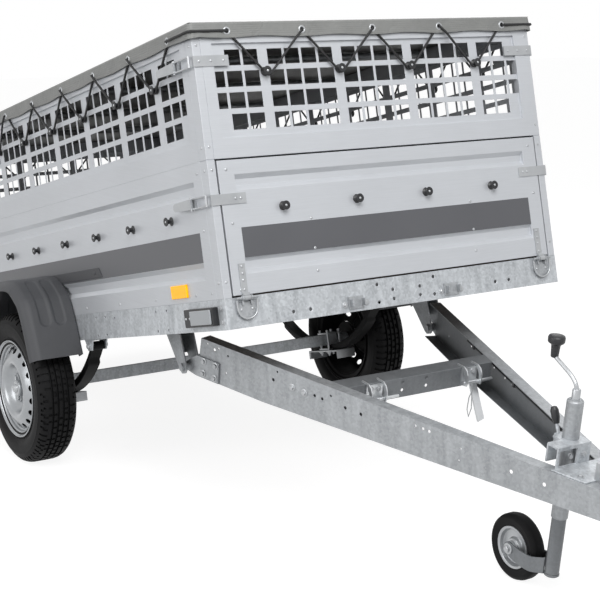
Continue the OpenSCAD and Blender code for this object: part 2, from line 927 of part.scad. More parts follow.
module leaf_spring() {
    eye_d = 32;
    color(black) translate([-axle_back, leaf_y, 0]) difference() {
        union() {
            upright(-leaf_w / 2, leaf_w / 2) intersection() {
                translate([0, leaf_z + leaf_r + leaf_t]) difference() {
                    circle(r = leaf_r + leaf_t, $fn = 180);
                    circle(r = leaf_r, $fn = 180);
                }
                translate([-leaf_half, leaf_z - 1]) square([2 * leaf_half, leaf_sag + leaf_t + 4]);
            }
            for (end = [-1, 1]) translate([end * leaf_half, 0, eye_z]) across(eye_d, -leaf_w / 2, leaf_w / 2);
        }
        for (end = [-1, 1]) translate([end * leaf_half, 0, eye_z]) across(14 + 2 * fit, -leaf_w, leaf_w);
    }
}

module leaf_spring_right() {
    at_bed() on_right() leaf_spring();
}

module leaf_spring_left() {
    at_bed() leaf_spring();
}

// Folded hangers under the rails with the spring bolts
module spring_hangers() {
    cheek = 5;
    half = leaf_w / 2 + 2;
    color(zinc) at_bed() on_both() for (end = [-1, 1])
    translate([-axle_back + end * leaf_half, leaf_y, 0]) {
        for (side = [-1, 1]) translate([0, side * (half + cheek / 2), 0])
            upright(-cheek / 2, cheek / 2) polygon([
                [-34, 0], [34, 0], [16, eye_z - 16], [-16, eye_z - 16]
            ]);
        span([-34, -half - cheek, -cheek], [34, half + cheek, 0]);
        translate([0, 0, eye_z]) across(14, -half - cheek - 6, half + cheek + 6);
    }
}

// Square axle tube with a stub at each end
module axle_beam() {
    tube_end = leaf_y + leaf_w / 2 - 2;
    stub_end = wheel_y + 36;
    color(zinc) at_bed() translate([-axle_back, 0, -axle_drop]) {
        span([-axle_tube / 2, -tube_end, -axle_tube / 2], [axle_tube / 2, tube_end, axle_tube / 2]);
        across(stub_d, -stub_end, stub_end);
    }
}

// Plates and round clamps that hold the springs under the axle
module spring_clamps() {
    rod = 10;
    half_x = axle_tube / 2 + rod / 2 + 0.5;
    half_y = leaf_w / 2 + rod / 2 + 1;
    plate = 6;
    low = leaf_z;
    color(zinc) at_bed() on_both() translate([-axle_back, leaf_y, 0]) {
        span([-half_x - 10, -half_y - 6, low - plate], [half_x + 10, half_y + 6, low]);
        span([-half_x - 10, -half_y - 6, -axle_drop + axle_tube / 2],
            [half_x + 10, half_y + 6, -axle_drop + axle_tube / 2 + plate]);
        for (x = [-half_x, half_x], y = [-half_y, half_y])
            translate([x, y, low - plate - 24])
            cylinder(d = rod, h = -axle_drop + axle_tube / 2 + plate + 12 - low + plate + 24);
    }
}

// Wheels, lying across Y round the axle's middle

module spin_y() {
    rotate([-90, 0, 0]) rotate_extrude($fn = 128) children();
}

bead_r = rim_r - 17;
module tyre() {
    shoulder = tyre_r - 26;
    half = tyre_w / 2;
    bead = half - 16;
    color("#1E1E20") spin_y() polygon([
        [bead_r + seat, -bead], [rim_r + 8, -bead - 6], [tyre_r - 60, -half],
        [shoulder, -half + 5], [tyre_r - 8, -half + 17], [tyre_r, -half + 34],
        [tyre_r, half - 34], [tyre_r - 8, half - 17], [shoulder, half - 5],
        [tyre_r - 60, half], [rim_r + 8, bead + 6], [bead_r + seat, bead]
    ]);
}

// Pressed rim: barrel with its flanges, dished disc, hub, oval slots and bolt heads.
// The outer side is towards +Y.
slots = 12;
bolts = 4;
module rim() {
    lip = tyre_w / 2 - 16;
    sheet = 5;
    disc = tyre_w / 2 - 37;
    color("#B9BCC0") difference() {
        union() {
            spin_y() polygon([
                [rim_r, -lip - 10], [rim_r, -lip - 5], [bead_r, -lip - 1], [bead_r, lip + 1],
                [rim_r, lip + 5], [rim_r, lip + 10], [bead_r - sheet, lip + 6], [bead_r - sheet, -lip - 6]
            ]);
            spin_y() polygon([
                [stub_d / 2 + 12, disc - 12], [78, disc - 12], [106, disc + 12], [bead_r - sheet, disc - 4],
                [bead_r - sheet, disc + 2], [106, disc + 18], [76, disc - 6], [stub_d / 2 + 12, disc - 6]
            ]);
            across(stub_d + 32, -46, disc + 18);
            across(128, -46, -36);
            for (i = [0 : bolts - 1]) rotate([0, 45 + i * 360 / bolts, 0]) translate([50, 0, 0])
                across(19, disc - 12, disc + 8);
        }
        for (i = [0 : slots - 1]) rotate([0, i * 360 / slots, 0]) translate([130, 0, 0]) {
            across(20, 0, 60);
            translate([0, 0, 9]) across(16, 0, 60);
            translate([0, 0, -9]) across(16, 0, 60);
        }
        across(stub_d + 2 * fit, -60, 37);
    }
}

module at_wheel() {
    translate([-axle_back, wheel_y, -axle_drop]) children();
}

module tyre_right() {
    at_bed() on_right() at_wheel() tyre();
}

module rim_right() {
    at_bed() on_right() at_wheel() rim();
}

module tyre_left() {
    at_bed() at_wheel() tyre();
}

module rim_left() {
    at_bed() at_wheel() rim();
}

// Lamps: markers ahead on the rails, tail lamps and a bare plate board on the rear beam
lamp_back = 48;
lamp_l = 182;
lamp_low = 16;
lamp_h = 56;
lamp_out = 22;
lens_in = 6;
tail_y = 0.65 * half_w;
tail_w = 200;
tail_h = 72;
tail_low = 10;
lens_out = 12;
plate_w = 0.28 * bed_w;

module lamp_housings() {
    color(black) at_bed() {
        on_both() span([-lamp_back - lamp_l, half_w, lamp_low], [-lamp_back, half_w + lamp_out, lamp_low + lamp_h]);
        at_rear() {
            on_both() span([0, tail_y - tail_w / 2, tail_low], [lamp_out, tail_y + tail_w / 2, tail_low + tail_h]);
            span([0, -plate_w / 2, lens_in], [lens_in, plate_w / 2, rail_h - 4]);
        }
    }
}

module marker_lenses() {
    color("#E8ECEE") at_bed() on_both()
    span([-lamp_back - lamp_l * 0.74, half_w + lamp_out, lamp_low + lens_in],
        [-lamp_back - lens_in, half_w + lamp_out + lens_in, lamp_low + lamp_h - lens_in]);
}

module tail_lenses() {
    color("#A81818") at_bed() at_rear() on_both()
    span([lamp_out, tail_y - tail_w / 2 + lens_in, tail_low + lens_in],
        [lamp_out + lens_out, tail_y + tail_w / 2 - lens_in, tail_low + tail_h - lens_in]);
}

module side_reflectors() {
    color("#E07A1E") at_bed() on_both() for (place = [275, bed_l - 275])
        span([-place - 53, half_w, board_z + 16], [-place + 53, half_w + 7, board_z + 57]);
}

// Jockey wheel: sliding leg, trailing fork that swivels in it, and the wheel

king_d = 24;
king_l = 44;
leg_hold = 150;

module jockey_leg() {
    leg_l = tube_end - leg_end + leg_hold;
    color(zinc) at_bar() translate([leg_fwd, 0, leg_end]) difference() {
        cylinder(d = leg_d, h = leg_l);
        translate([0, 0, -cut]) cylinder(d = king_d + 2 * fit, h = king_l + cut);
        translate([0, 0, king_l + 15]) cylinder(d = leg_d - 8, h = leg_l);
    }
}

module jockey_fork() {
    cheek = 5;
    gap = jockey_w / 2 + 6;
    rise = hub_up - leg_end;
    foot = 8 + seat;
    color(zinc) at_bar() translate([leg_fwd, 0, leg_end]) {
        translate([0, 0, -foot]) cylinder(d = leg_d + 14, h = 8);
        translate([0, 0, -cut - seat]) cylinder(d = king_d, h = king_l - 2);
        on_both() difference() {
            union() {
                upright(gap, gap + cheek) polygon([
                    [20, -foot], [22, 26], [8, 40], [-16, 42], [-trail + 8, rise + 19],
                    [-trail - 12, rise + 14], [-trail - 12, rise - 14], [-40, -foot]
                ]);
                translate([-trail, 0, rise]) across(40, gap, gap + cheek);
                span([-20, 0, -foot], [20, gap, -seat]);
            }
            translate([-trail, 0, rise]) across(14 + 2 * fit, 0, gap + 10);
        }
    }
}

module jockey_tyre() {
    half = jockey_w / 2;
    color("#2A2A2C") at_bar() translate([hub_fwd, 0, hub_up]) spin_y() polygon([
        [jockey_r - 36 + seat, -half + 4], [jockey_r - 12, -half], [jockey_r - 3, -half + 7],
        [jockey_r, -half + 16], [jockey_r, half - 16], [jockey_r - 3, half - 7],
        [jockey_r - 12, half], [jockey_r - 36 + seat, half - 4]
    ]);
}

module jockey_rim() {
    half = jockey_w / 2;
    pin = half + 6 + 5 + 7;
    color("#B9BCC0") at_bar() translate([hub_fwd, 0, hub_up]) {
        spin_y() polygon([
            [0, -half + 6], [26, -half + 6], [30, -8], [52, -8], [56, -half + 4], [jockey_r - 36, -half + 2],
            [jockey_r - 36, half - 2], [56, half - 4], [52, 8], [30, 8], [26, half - 6], [0, half - 6]
        ]);
        across(14, -pin, pin);
        across(40, -half - 4, half + 4);
    }
}

arm_right();
arm_left();
hinge_plates();
crossbar();
tip_latches();
nose_plate();
jockey_clamp();
clamp_lever();
jockey_tube();
jockey_crank();
crank_knob();
coupling_head();
coupling_lever();
drawbar_cable();
floor_board();
front_beam();
rear_beam();
rail_right();
rail_left();
cross_members();
hinge_brackets();
side_board_right();
side_board_left();
posts_right();
posts_left();
mesh_right();
mesh_left();
mesh_front();
mesh_rear();
cover();
cover_bows();
cord_knobs();
side_latches();
gate_hinges();
tip_hooks();
mudguard_right();
mudguard_left();
leaf_spring_right();
leaf_spring_left();
spring_hangers();
axle_beam();
spring_clamps();
lamp_housings();
marker_lenses();
tail_lenses();
side_reflectors();
front_gate();
front_gate_straps();
front_gate_knobs();
tail_gate();
tail_gate_straps();
tail_gate_knobs();
tyre_right();
rim_right();
tyre_left();
rim_left();
jockey_leg();
jockey_fork();
jockey_tyre();
jockey_rim();
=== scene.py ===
"""Looks of a tipping box trailer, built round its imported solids.

The solids give every place and size. Rigid nodes are copied, rounded along their folds and dressed;
the cover, its cord, the knobs, the wheels and the small fasteners are modelled here.
Lengths in the classes are millimetres in two working frames: the bed's (forwards from the front beam,
up from the rails' underside) and the drawbar's (forwards and up from the tip hinge).
"""
import json
import logging
import math
from collections.abc import Callable, Iterator, Sequence
from contextlib import contextmanager
from dataclasses import dataclass
from enum import Enum
from itertools import accumulate

import bmesh
import bpy
from mathutils import Matrix, Vector


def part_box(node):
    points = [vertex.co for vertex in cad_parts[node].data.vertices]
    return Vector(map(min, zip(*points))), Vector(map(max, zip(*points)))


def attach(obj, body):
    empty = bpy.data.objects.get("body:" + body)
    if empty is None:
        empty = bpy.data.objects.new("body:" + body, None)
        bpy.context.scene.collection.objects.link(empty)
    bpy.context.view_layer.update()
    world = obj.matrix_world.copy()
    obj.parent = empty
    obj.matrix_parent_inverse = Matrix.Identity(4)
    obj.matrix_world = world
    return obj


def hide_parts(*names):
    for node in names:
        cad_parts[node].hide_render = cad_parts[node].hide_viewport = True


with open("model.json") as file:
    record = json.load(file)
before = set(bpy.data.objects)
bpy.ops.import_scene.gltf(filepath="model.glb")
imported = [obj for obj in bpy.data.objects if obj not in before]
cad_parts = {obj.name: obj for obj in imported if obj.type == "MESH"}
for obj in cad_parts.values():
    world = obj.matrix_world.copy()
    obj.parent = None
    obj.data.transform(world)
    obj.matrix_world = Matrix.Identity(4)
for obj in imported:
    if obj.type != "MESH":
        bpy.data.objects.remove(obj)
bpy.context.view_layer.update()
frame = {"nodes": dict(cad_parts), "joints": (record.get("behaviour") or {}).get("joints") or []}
LOG = logging.getLogger("trailer")
MM = 0.001

Piece = bpy.types.Object
Tree = bpy.types.NodeTree
Node = bpy.types.Node
Socket = bpy.types.NodeSocket
Point = Sequence[float]
Spot = tuple[Point, Point]
Profile = list[tuple[float, float]]
Test = Callable[[Vector, Vector], bool]


# Working frames

@dataclass(frozen=True)
class Place:
    """A working frame of the trailer.

    Args:
        origin: where its zero lies, in metres.
        pitch: how far its nose is raised, in radians.
    """

    origin: Vector
    pitch: float

    def matrix(self) -> Matrix:
        """Return the turn and move from the working frame to the trailer's frame."""
        return Matrix.Translation(self.origin) @ Matrix.Rotation(-self.pitch, 4, "Y")


def joint(name: str) -> dict:
    """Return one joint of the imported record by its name."""
    return next(row for row in frame["joints"] if row["name"] == name)


def bed_place() -> tuple[Place, float]:
    """Find the bed's frame from its two gate hinges.

    Returns:
        The place of the bed, and the bed's length in millimetres.
    """
    pin_out, pin_up = 12.0, 88.0
    front = Vector(joint("front_gate_drop")["pos_m"])
    run = front - Vector(joint("tail_gate_drop")["pos_m"])
    pitch = math.atan2(run.z, run.x)
    turned = Matrix.Rotation(-pitch, 4, "Y") @ (Vector((pin_out, 0.0, pin_up)) * MM)
    return Place(front - turned, pitch), run.length / MM - 2 * pin_out


def drawbar_place() -> Place:
    """Find the drawbar's frame from the tip hinge and the jockey leg's slide."""
    down = Vector(joint("jockey_slide")["axis"])
    return Place(Vector(joint("bed_tip")["pos_m"]), -math.atan2(-down.x, -down.z))


class Axis(Enum):
    """The way that a bar, stud or ring points in its working frame."""

    AHEAD = (1.0, 0.0, 0.0)
    BACK = (-1.0, 0.0, 0.0)
    LEFT = (0.0, 1.0, 0.0)
    RIGHT = (0.0, -1.0, 0.0)
    UP = (0.0, 0.0, 1.0)


SIDES = ((-1, Axis.RIGHT), (1, Axis.LEFT))


def both_sides(x: float, across: Sequence[float], heights: Sequence[float], way: Axis) -> list[Spot]:
    """Return spots on a cross face, the same to the right and to the left."""
    return [((x, side * y, z), way.value) for side, _ in SIDES for y in across for z in heights]


def flank(side: int, along: Sequence[float], y: float, heights: Sequence[float]) -> list[Spot]:
    """Return spots on a side face, facing out."""
    return [((x, side * y, z), (0.0, side, 0.0)) for x in along for z in heights]


# Bench: primitives, edit-mode work and finishing

def turn_to(normal: Point) -> Matrix:
    """Return the turn that takes the upright axis to a normal."""
    return Vector(Axis.UP.value).rotation_difference(Vector(normal)).to_matrix().to_4x4()


def deselect() -> None:
    """Leave edit mode and deselect everything, so that an operator acts on new work alone."""
    if bpy.context.mode != "OBJECT":
        bpy.ops.object.mode_set(mode="OBJECT")
    bpy.ops.object.select_all(action="DESELECT")


def take(obj: Piece) -> None:
    """Make one object the only selected and active one.

    Args:
        obj: the object.
    """
    deselect()
    obj.select_set(True)
    bpy.context.view_layer.objects.active = obj


def linked(name: str, data: bpy.types.ID) -> Piece:
    """Put new data into the scene as an object.

    Args:
        name: the object's name.
        data: its mesh, curve, camera or light.

    Returns:
        The object.
    """
    obj = bpy.data.objects.new(name, data)
    bpy.context.scene.collection.objects.link(obj)
    return obj


@contextmanager
def editing(obj: Piece, mode: str = "FACE") -> Iterator[None]:
    """Hold one object in edit mode, with everything on it deselected at first.

    Args:
        obj: the object.
        mode: what is selected: VERT, EDGE or FACE.

    Returns:
        The edit-mode work, as a context.
    """
    take(obj)
    bpy.ops.object.mode_set(mode="EDIT")
    bpy.ops.mesh.select_mode(type=mode)
    bpy.ops.mesh.select_all(action="DESELECT")
    yield
    bpy.ops.object.mode_set(mode="OBJECT")


def pick(obj: Piece, test: Test) -> None:
    """Select the faces of an object in edit mode by their middle and normal.

    Args:
        obj: the object, in edit mode.
        test: says from a face's middle, in millimetres, and its normal whether it is wanted.
    """
    mesh = bmesh.from_edit_mesh(obj.data)
    for face in mesh.faces:
        face.select_set(test(face.calc_center_median() / MM, face.normal))
    mesh.select_flush_mode()
    bmesh.update_edit_mesh(obj.data)


def pull(move: Point) -> None:
    """Extrude what is selected by a move in metres."""
    bpy.ops.mesh.extrude_region_move(TRANSFORM_OT_translate={"value": move})


def outwards() -> None:
    """Turn all normals of the edited mesh outwards."""
    bpy.ops.mesh.select_all(action="SELECT")
    bpy.ops.mesh.normals_make_consistent(inside=False)


def inset(obj: Piece, test: Test, *steps: tuple[float, float]) -> None:
    """Inset the picked faces of an object.

    Args:
        obj: the object.
        test: picks the faces.
        steps: width and depth of each inset, in millimetres.
    """
    with editing(obj):
        pick(obj, test)
        for width, depth in steps:
            bpy.ops.mesh.inset(thickness=width * MM, depth=depth * MM)


def on_top(middle: Vector, normal: Vector) -> bool:
    """Say whether a face looks up."""
    return normal.z > 0.9


def parted(obj: Piece, name: str, test: Test) -> Piece:
    """Part the picked faces from an object.

    Args:
        obj: the object, which loses them.
        name: the new object's name.
        test: picks the faces.

    Returns:
        The new object.
    """
    with editing(obj):
        pick(obj, test)
        bpy.ops.mesh.separate(type="SELECTED")
    part = next(other for other in bpy.context.selected_objects if other is not obj)
    part.name = part.data.name = name
    return part


def settled(name: str) -> Piece:
    """Name the primitive that was just added, and put its place in its mesh.

    Args:
        name: the name.

    Returns:
        The primitive.
    """
    obj = bpy.context.object
    obj.name = obj.data.name = name
    bpy.ops.object.transform_apply(location=True, rotation=True, scale=True)
    return obj


def block(name: str, low: Point, high: Point) -> Piece:
    """Add a block.

    Args:
        name: the new object's name.
        low: its low corner, in millimetres.
        high: its high corner.

    Returns:
        The block.
    """
    deselect()
    middle = [(a + b) / 2 * MM for a, b in zip(low, high)]
    size = [(b - a) * MM for a, b in zip(low, high)]
    bpy.ops.mesh.primitive_cube_add(size=1.0, location=middle, scale=size)
    return settled(name)


def bar(name: str, radius: float, start: Point, end: Point, sides: int = 14) -> Piece:
    """Add a round bar.

    Args:
        name: the new object's name.
        radius: its radius in millimetres.
        start: the middle of its foot, in millimetres.
        end: the middle of its top.
        sides: faces round it.

    Returns:
        The bar.
    """
    deselect()
    a, b = Vector(start) * MM, Vector(end) * MM
    turn = Vector(Axis.UP.value).rotation_difference(b - a).to_euler()
    bpy.ops.mesh.primitive_cylinder_add(
        vertices=sides, radius=radius * MM, depth=(b - a).length, location=(a + b) / 2, rotation=turn)
    return settled(name)


def lathe(name: str, profile: Profile, steps: int) -> Piece:
    """Spin a profile round the upright axis.

    Args:
        name: the new object's name.
        profile: radius and height of each point, in millimetres.
        steps: faces round the axis.

    Returns:
        The closed shape, with its normals outwards.
    """
    deselect()
    bpy.ops.mesh.primitive_plane_add(size=MM)
    obj = settled(name)
    points = [Vector((r, 0.0, h)) * MM for r, h in profile]
    with editing(obj, "VERT"):
        bpy.ops.mesh.select_all(action="SELECT")
        bpy.ops.mesh.merge(type="CENTER")
        bpy.ops.transform.translate(value=points[0])
        for a, b in zip(points, points[1:]):
            pull(b - a)
        bpy.ops.mesh.select_all(action="SELECT")
        bpy.ops.mesh.spin(steps=steps, angle=math.tau, center=(0.0, 0.0, 0.0), axis=Axis.UP.value)
        bpy.ops.mesh.select_all(action="SELECT")
        bpy.ops.mesh.remove_doubles(threshold=1e-6)
        bpy.ops.mesh.normals_make_consistent(inside=False)
    return obj


def wire(name: str, radius: float, route: Sequence[Vector], closed: bool = True) -> Piece:
    """Sweep a round wire along a route.

    Args:
        name: the new object's name.
        radius: the wire's radius in millimetres.
        route: the points of its middle line, in millimetres.
        closed: whether the route ends where it starts.

    Returns:
        The wire as a mesh.
    """
    curve = bpy.data.curves.new(name, "CURVE")
    curve.dimensions = "3D"
    curve.bevel_depth = radius * MM
    curve.bevel_resolution = 2
    curve.use_fill_caps = True
    spline = curve.splines.new("POLY")
    spline.points.add(len(route) - 1)
    for point, spot in zip(spline.points, route):
        point.co = (*(spot * MM), 1.0)
    spline.use_cyclic_u = closed
    take(linked(name, curve))
    bpy.ops.object.convert(target="MESH")
    return smooth(bpy.context.object, 60.0)


def eased(line: list[Vector]) -> list[Vector]:
    """Round the bends of a line by cutting its corners three times.

    Args:
        line: the line's points.

    Returns:
        The points of the rounded line.
    """
    for _ in range(3):
        cuts = [spot for a, b in zip(line, line[1:]) for spot in (a.lerp(b, 0.25), a.lerp(b, 0.75))]
        line = [line[0], *cuts, line[-1]]
    return line


def copy_of(obj: Piece, name: str, move: Matrix) -> Piece:
    """Copy an object with its own mesh.

    Args:
        obj: the pattern.
        name: the copy's name.
        move: moves the copy's mesh.

    Returns:
        The copy.
    """
    twin = linked(name, obj.data.copy())
    twin.data.transform(move)
    if move.determinant() < 0:
        twin.data.flip_normals()
    return twin


def joined(name: str, parts: Sequence[Piece]) -> Piece:
    """Join several objects into the first one.

    Args:
        name: its new name.
        parts: the objects.

    Returns:
        The first object.
    """
    deselect()
    for part in parts:
        part.select_set(True)
    bpy.context.view_layer.objects.active = parts[0]
    if len(parts) > 1:
        bpy.ops.object.join()
    parts[0].name = parts[0].data.name = name
    return parts[0]


def set_out(name: str, pattern: Piece, spots: Sequence[Spot]) -> Piece:
    """Set copies of an upright pattern on their feet and join them.

    Args:
        name: the new object's name.
        pattern: the pattern, which stays.
        spots: foot in millimetres and outward normal of each copy.

    Returns:
        One object with them all.
    """
    return joined(name, [copy_of(pattern, name, Matrix.Translation(Vector(foot) * MM) @ turn_to(normal))
                         for foot, normal in spots])


def modify(obj: Piece, kind: str, **settings: object) -> None:
    """Add one modifier and apply it.

    Args:
        obj: the object.
        kind: the modifier's type.
        settings: its values by name.
    """
    take(obj)
    modifier = obj.modifiers.new(kind.lower(), kind)
    for key, value in settings.items():
        setattr(modifier, key, value)
    bpy.ops.object.modifier_apply(modifier=modifier.name)


def cut(obj: Piece, tools: Sequence[Piece], move: Matrix | None = None) -> None:
    """Cut tools out of an object.

    Args:
        obj: the object.
        tools: what is cut out, which is used up.
        move: moves the tools first.
    """
    tool = joined("tool", tools)
    if move is not None:
        tool.data.transform(move)
    modify(obj, "BOOLEAN", object=tool, operation="DIFFERENCE", solver="EXACT")
    bpy.data.objects.remove(tool)


def smooth(obj: Piece, degrees: float = 35.0) -> Piece:
    """Shade an object smooth but for edges sharper than an angle.

    Args:
        obj: the object.
        degrees: the angle.

    Returns:
        The same object.
    """
    take(obj)
    bpy.ops.object.shade_smooth_by_angle(angle=math.radians(degrees))
    return obj


def rounded(obj: Piece, width: float, degrees: float = 35.0) -> Piece:
    """Round the edges that are sharper than an angle, and shade the rest smooth.

    Args:
        obj: the object, in object mode.
        width: the rounding's width in millimetres.
        degrees: the angle above which an edge is rounded.

    Returns:
        The same object.
    """
    modify(obj, "BEVEL", width=width * MM, segments=2, limit_method="ANGLE",
           angle_limit=math.radians(degrees), use_clamp_overlap=True)
    smooth(obj, degrees)
    modify(obj, "WEIGHTED_NORMAL", keep_sharp=True)
    return obj


def softened(node: str, width: float, place: Place, holes: Sequence[tuple[Point, Point, float]] = (),
             windows: Sequence[Spot] = (), reshape: Callable[[Vector], Vector] | None = None) -> Piece:
    """Copy a rigid node, merge it, cut it and round its edges.

    Args:
        node: the node's name.
        width: the rounding's width in millimetres.
        place: the working frame of what follows.
        holes: middle, axis and radius of each drilled hole, in millimetres.
        windows: opposite corners of each cut-out, in millimetres.
        reshape: moves a vertex, given and returned in millimetres.

    Returns:
        The copy, where the node is.
    """
    drill_reach = 14.0
    obj = linked(f"{node}_shape", frame["nodes"][node].data.copy())
    obj.data.materials.clear()
    with editing(obj, "VERT"):
        bpy.ops.mesh.select_all(action="SELECT")
        bpy.ops.mesh.remove_doubles(threshold=2e-5)
        bpy.ops.mesh.dissolve_limited(angle_limit=math.radians(0.5))
    tools = [block("tool", low, high) for low, high in windows]
    for middle, axis, radius in holes:
        reach = Vector(axis).normalized() * drill_reach
        tools.append(bar("tool", radius, Vector(middle) - reach, Vector(middle) + reach))
    there = place.matrix()
    if tools:
        cut(obj, tools, there)
    if reshape:
        back = there.inverted()
        for vertex in obj.data.vertices:
            vertex.co = there @ (reshape(back @ vertex.co / MM) * MM)
    return rounded(obj, width)


class Stud(Enum):
    """The kinds of small fasteners: sides of the head, and its height as a share of its radius."""

    HEX = (6, 0.95)
    DOME = (10, 0.25)


def stud(kind: Stud, radius: float) -> Piece:
    """Model one fastener, upright on the origin: a hexagon bolt with its washer, or a dome rivet.

    Args:
        kind: which fastener.
        radius: the head's radius in millimetres.

    Returns:
        The fastener, a few dozen faces.
    """
    sunk = -0.5
    sides, rise = kind.value
    head = bar("stud", radius, (0, 0, sunk), (0, 0, rise * radius), sides)
    chamfer, crown = (0.16 * radius, 0.12 * radius), (0.4 * radius, 0.18 * radius)
    if kind is Stud.DOME:
        inset(head, on_top, chamfer, crown)
        return smooth(head, 60.0)
    inset(head, on_top, chamfer)
    washer = bar("washer", 1.55 * radius, (0, 0, sunk), (0, 0, 0.28 * radius), 16)
    inset(washer, on_top, (0.12 * radius, 0.06 * radius))
    return smooth(joined("stud", [head, washer]), 30.0)


# Finishes

def linear(colour: str) -> tuple[float, float, float, float]:
    """Turn an sRGB hex colour into linear values with full cover.

    Args:
        colour: the colour, as #RRGGBB.

    Returns:
        Red, green, blue and cover.
    """
    parts = [int(colour[i:i + 2], 16) / 255 for i in (1, 3, 5)]
    red, green, blue = [c / 12.92 if c <= 0.04045 else ((c + 0.055) / 1.055) ** 2.4 for c in parts]
    return red, green, blue, 1.0


def per_metre(size: float) -> float:
    """Return a pattern's scale from the size of one repeat in millimetres."""
    return 1 / (size * MM)


def add_node(tree: Tree, kind: str, settings: dict | None = None, links: dict | None = None) -> Node:
    """Add a node with its settings and links.

    Args:
        tree: the material's or world's tree.
        kind: the node's type, after ShaderNode.
        settings: values by property name, or by the name or number of an input.
        links: sockets by the name or number of the input that they feed.

    Returns:
        The new node.
    """
    node = tree.nodes.new("ShaderNode" + kind)
    for key, value in (settings or {}).items():
        if isinstance(key, int) or key in node.inputs:
            node.inputs[key].default_value = value
        else:
            setattr(node, key, value)
    for key, socket in (links or {}).items():
        tree.links.new(socket, node.inputs[key])
    return node


class Finish:
    """A surface finish: one material, made on its first use."""

    name: str
    slot: str
    rough: tuple[float, float]

    def material(self) -> bpy.types.Material:
        """Return the finish's material.

        Returns:
            The material, the same one each time.
        """
        found = bpy.data.materials.get(self.name)
        if found:
            return found
        made = bpy.data.materials.new(self.name)
        made.use_nodes = True
        tree = made.node_tree
        self.paint(tree, tree.nodes["Principled BSDF"], add_node(tree, "TexCoord").outputs["Object"])
        return made

    def paint(self, tree: Tree, shader: Node, where: Socket) -> None:
        """Build the finish's nodes on a new material."""
        raise NotImplementedError

    def lay(self, tree: Tree, shader: Node, shades: tuple[str, str], share: Socket, plain: dict,
            worn: Socket | None = None, relief: Node | None = None) -> Socket:
        """Feed the shader with colour, plain values, roughness and relief.

        Args:
            tree: the material's tree.
            shader: its shader.
            shades: two sRGB colours.
            share: goes from the first colour to the second.
            plain: values that are the same all over, by the shader's own sockets.
            worn: goes from the smooth end of the finish's roughness to the rough end.
            relief: the bump.

        Returns:
            The blended colour.
        """
        first, second = [linear(shade) for shade in shades]
        tint = add_node(tree, "Mix", {"data_type": "RGBA", 6: first, 7: second}, {0: share}).outputs[2]
        tree.links.new(tint, shader.inputs["Base Color"])
        for key, value in plain.items():
            shader.inputs[key].default_value = value
        if worn is not None:
            low, high = self.rough
            rough = add_node(tree, "MapRange", {"To Min": low, "To Max": high}, {"Value": worn})
            tree.links.new(rough.outputs[0], shader.inputs["Roughness"])
        if relief is not None:
            tree.links.new(relief.outputs[0], shader.inputs["Normal"])
        return tint


@dataclass(frozen=True)
class GalvanisedSteel(Finish):
    """Hot-dip zinc on steel: even grey with a fine crystal grain, faint clouds and streaks from the dip."""

    name: str = "hot_dip_zinc"
    slot: str = "zinc"
    dark: str = "#808386"
    light: str = "#BFC2C5"
    spangle_mm: float = 7.0
    streak_mm: float = 26.0
    metallic: float = 0.5
    rough: tuple[float, float] = (0.4, 0.54)

    def paint(self, tree: Tree, shader: Node, where: Socket) -> None:
        """Lay small spangle cells over upright streaks, and let both change the roughness.

        Args:
            tree: the material's tree.
            shader: its shader.
            where: the place on the piece.
        """
        cells = add_node(tree, "TexVoronoi", {"Scale": per_metre(self.spangle_mm)}, {"Vector": where})
        grey = add_node(tree, "SeparateColor", None, {0: cells.outputs["Color"]}).outputs[0]
        upright = add_node(tree, "Mapping", {"Scale": (1.0, 1.0, 0.16)}, {"Vector": where})
        streaks = add_node(tree, "TexNoise", {"Scale": per_metre(self.streak_mm), "Detail": 4.0},
                           {"Vector": upright.outputs[0]})
        both = add_node(tree, "Mix", {"data_type": "FLOAT", 0: 0.25},
                        {2: streaks.outputs["Fac"], 3: grey}).outputs[0]
        relief = add_node(tree, "Bump", {"Strength": 0.08, "Distance": 0.0003}, {"Height": grey})
        self.lay(tree, shader, (self.dark, self.light), both, {"Metallic": self.metallic}, both, relief)


@dataclass(frozen=True)
class CoatedSheet(Finish):
    """Aluminium-zinc coated sheet: even satin silver with a faint rolled grain along the panels."""

    name: str = "coated_sheet"
    slot: str = "sheet"
    dark: str = "#BABDC1"
    light: str = "#D0D3D8"
    grain_mm: float = 3.0
    cloud_mm: float = 250.0
    stretch: float = 0.03
    pitch: float = 0.0
    metallic: float = 0.3
    rough: tuple[float, float] = (0.34, 0.44)

    def paint(self, tree: Tree, shader: Node, where: Socket) -> None:
        """Draw a grain that runs along the bed, coarser than the real one so that it shows.

        Args:
            tree: the material's tree.
            shader: its shader.
            where: the place on the piece.
        """
        along = add_node(tree, "Mapping", {"Rotation": (0.0, self.pitch, 0.0),
                                           "Scale": (self.stretch, self.stretch, 1.0)}, {"Vector": where})
        grain = add_node(tree, "TexNoise", {"Scale": per_metre(self.grain_mm), "Detail": 3.0},
                         {"Vector": along.outputs[0]}).outputs["Fac"]
        clouds = add_node(tree, "TexNoise", {"Scale": per_metre(self.cloud_mm), "Detail": 3.0},
                          {"Vector": where})
        both = add_node(tree, "Mix", {"data_type": "FLOAT", 0: 0.5}, {2: clouds.outputs["Fac"], 3: grain})
        self.lay(tree, shader, (self.dark, self.light), both.outputs[0], {"Metallic": self.metallic}, grain)


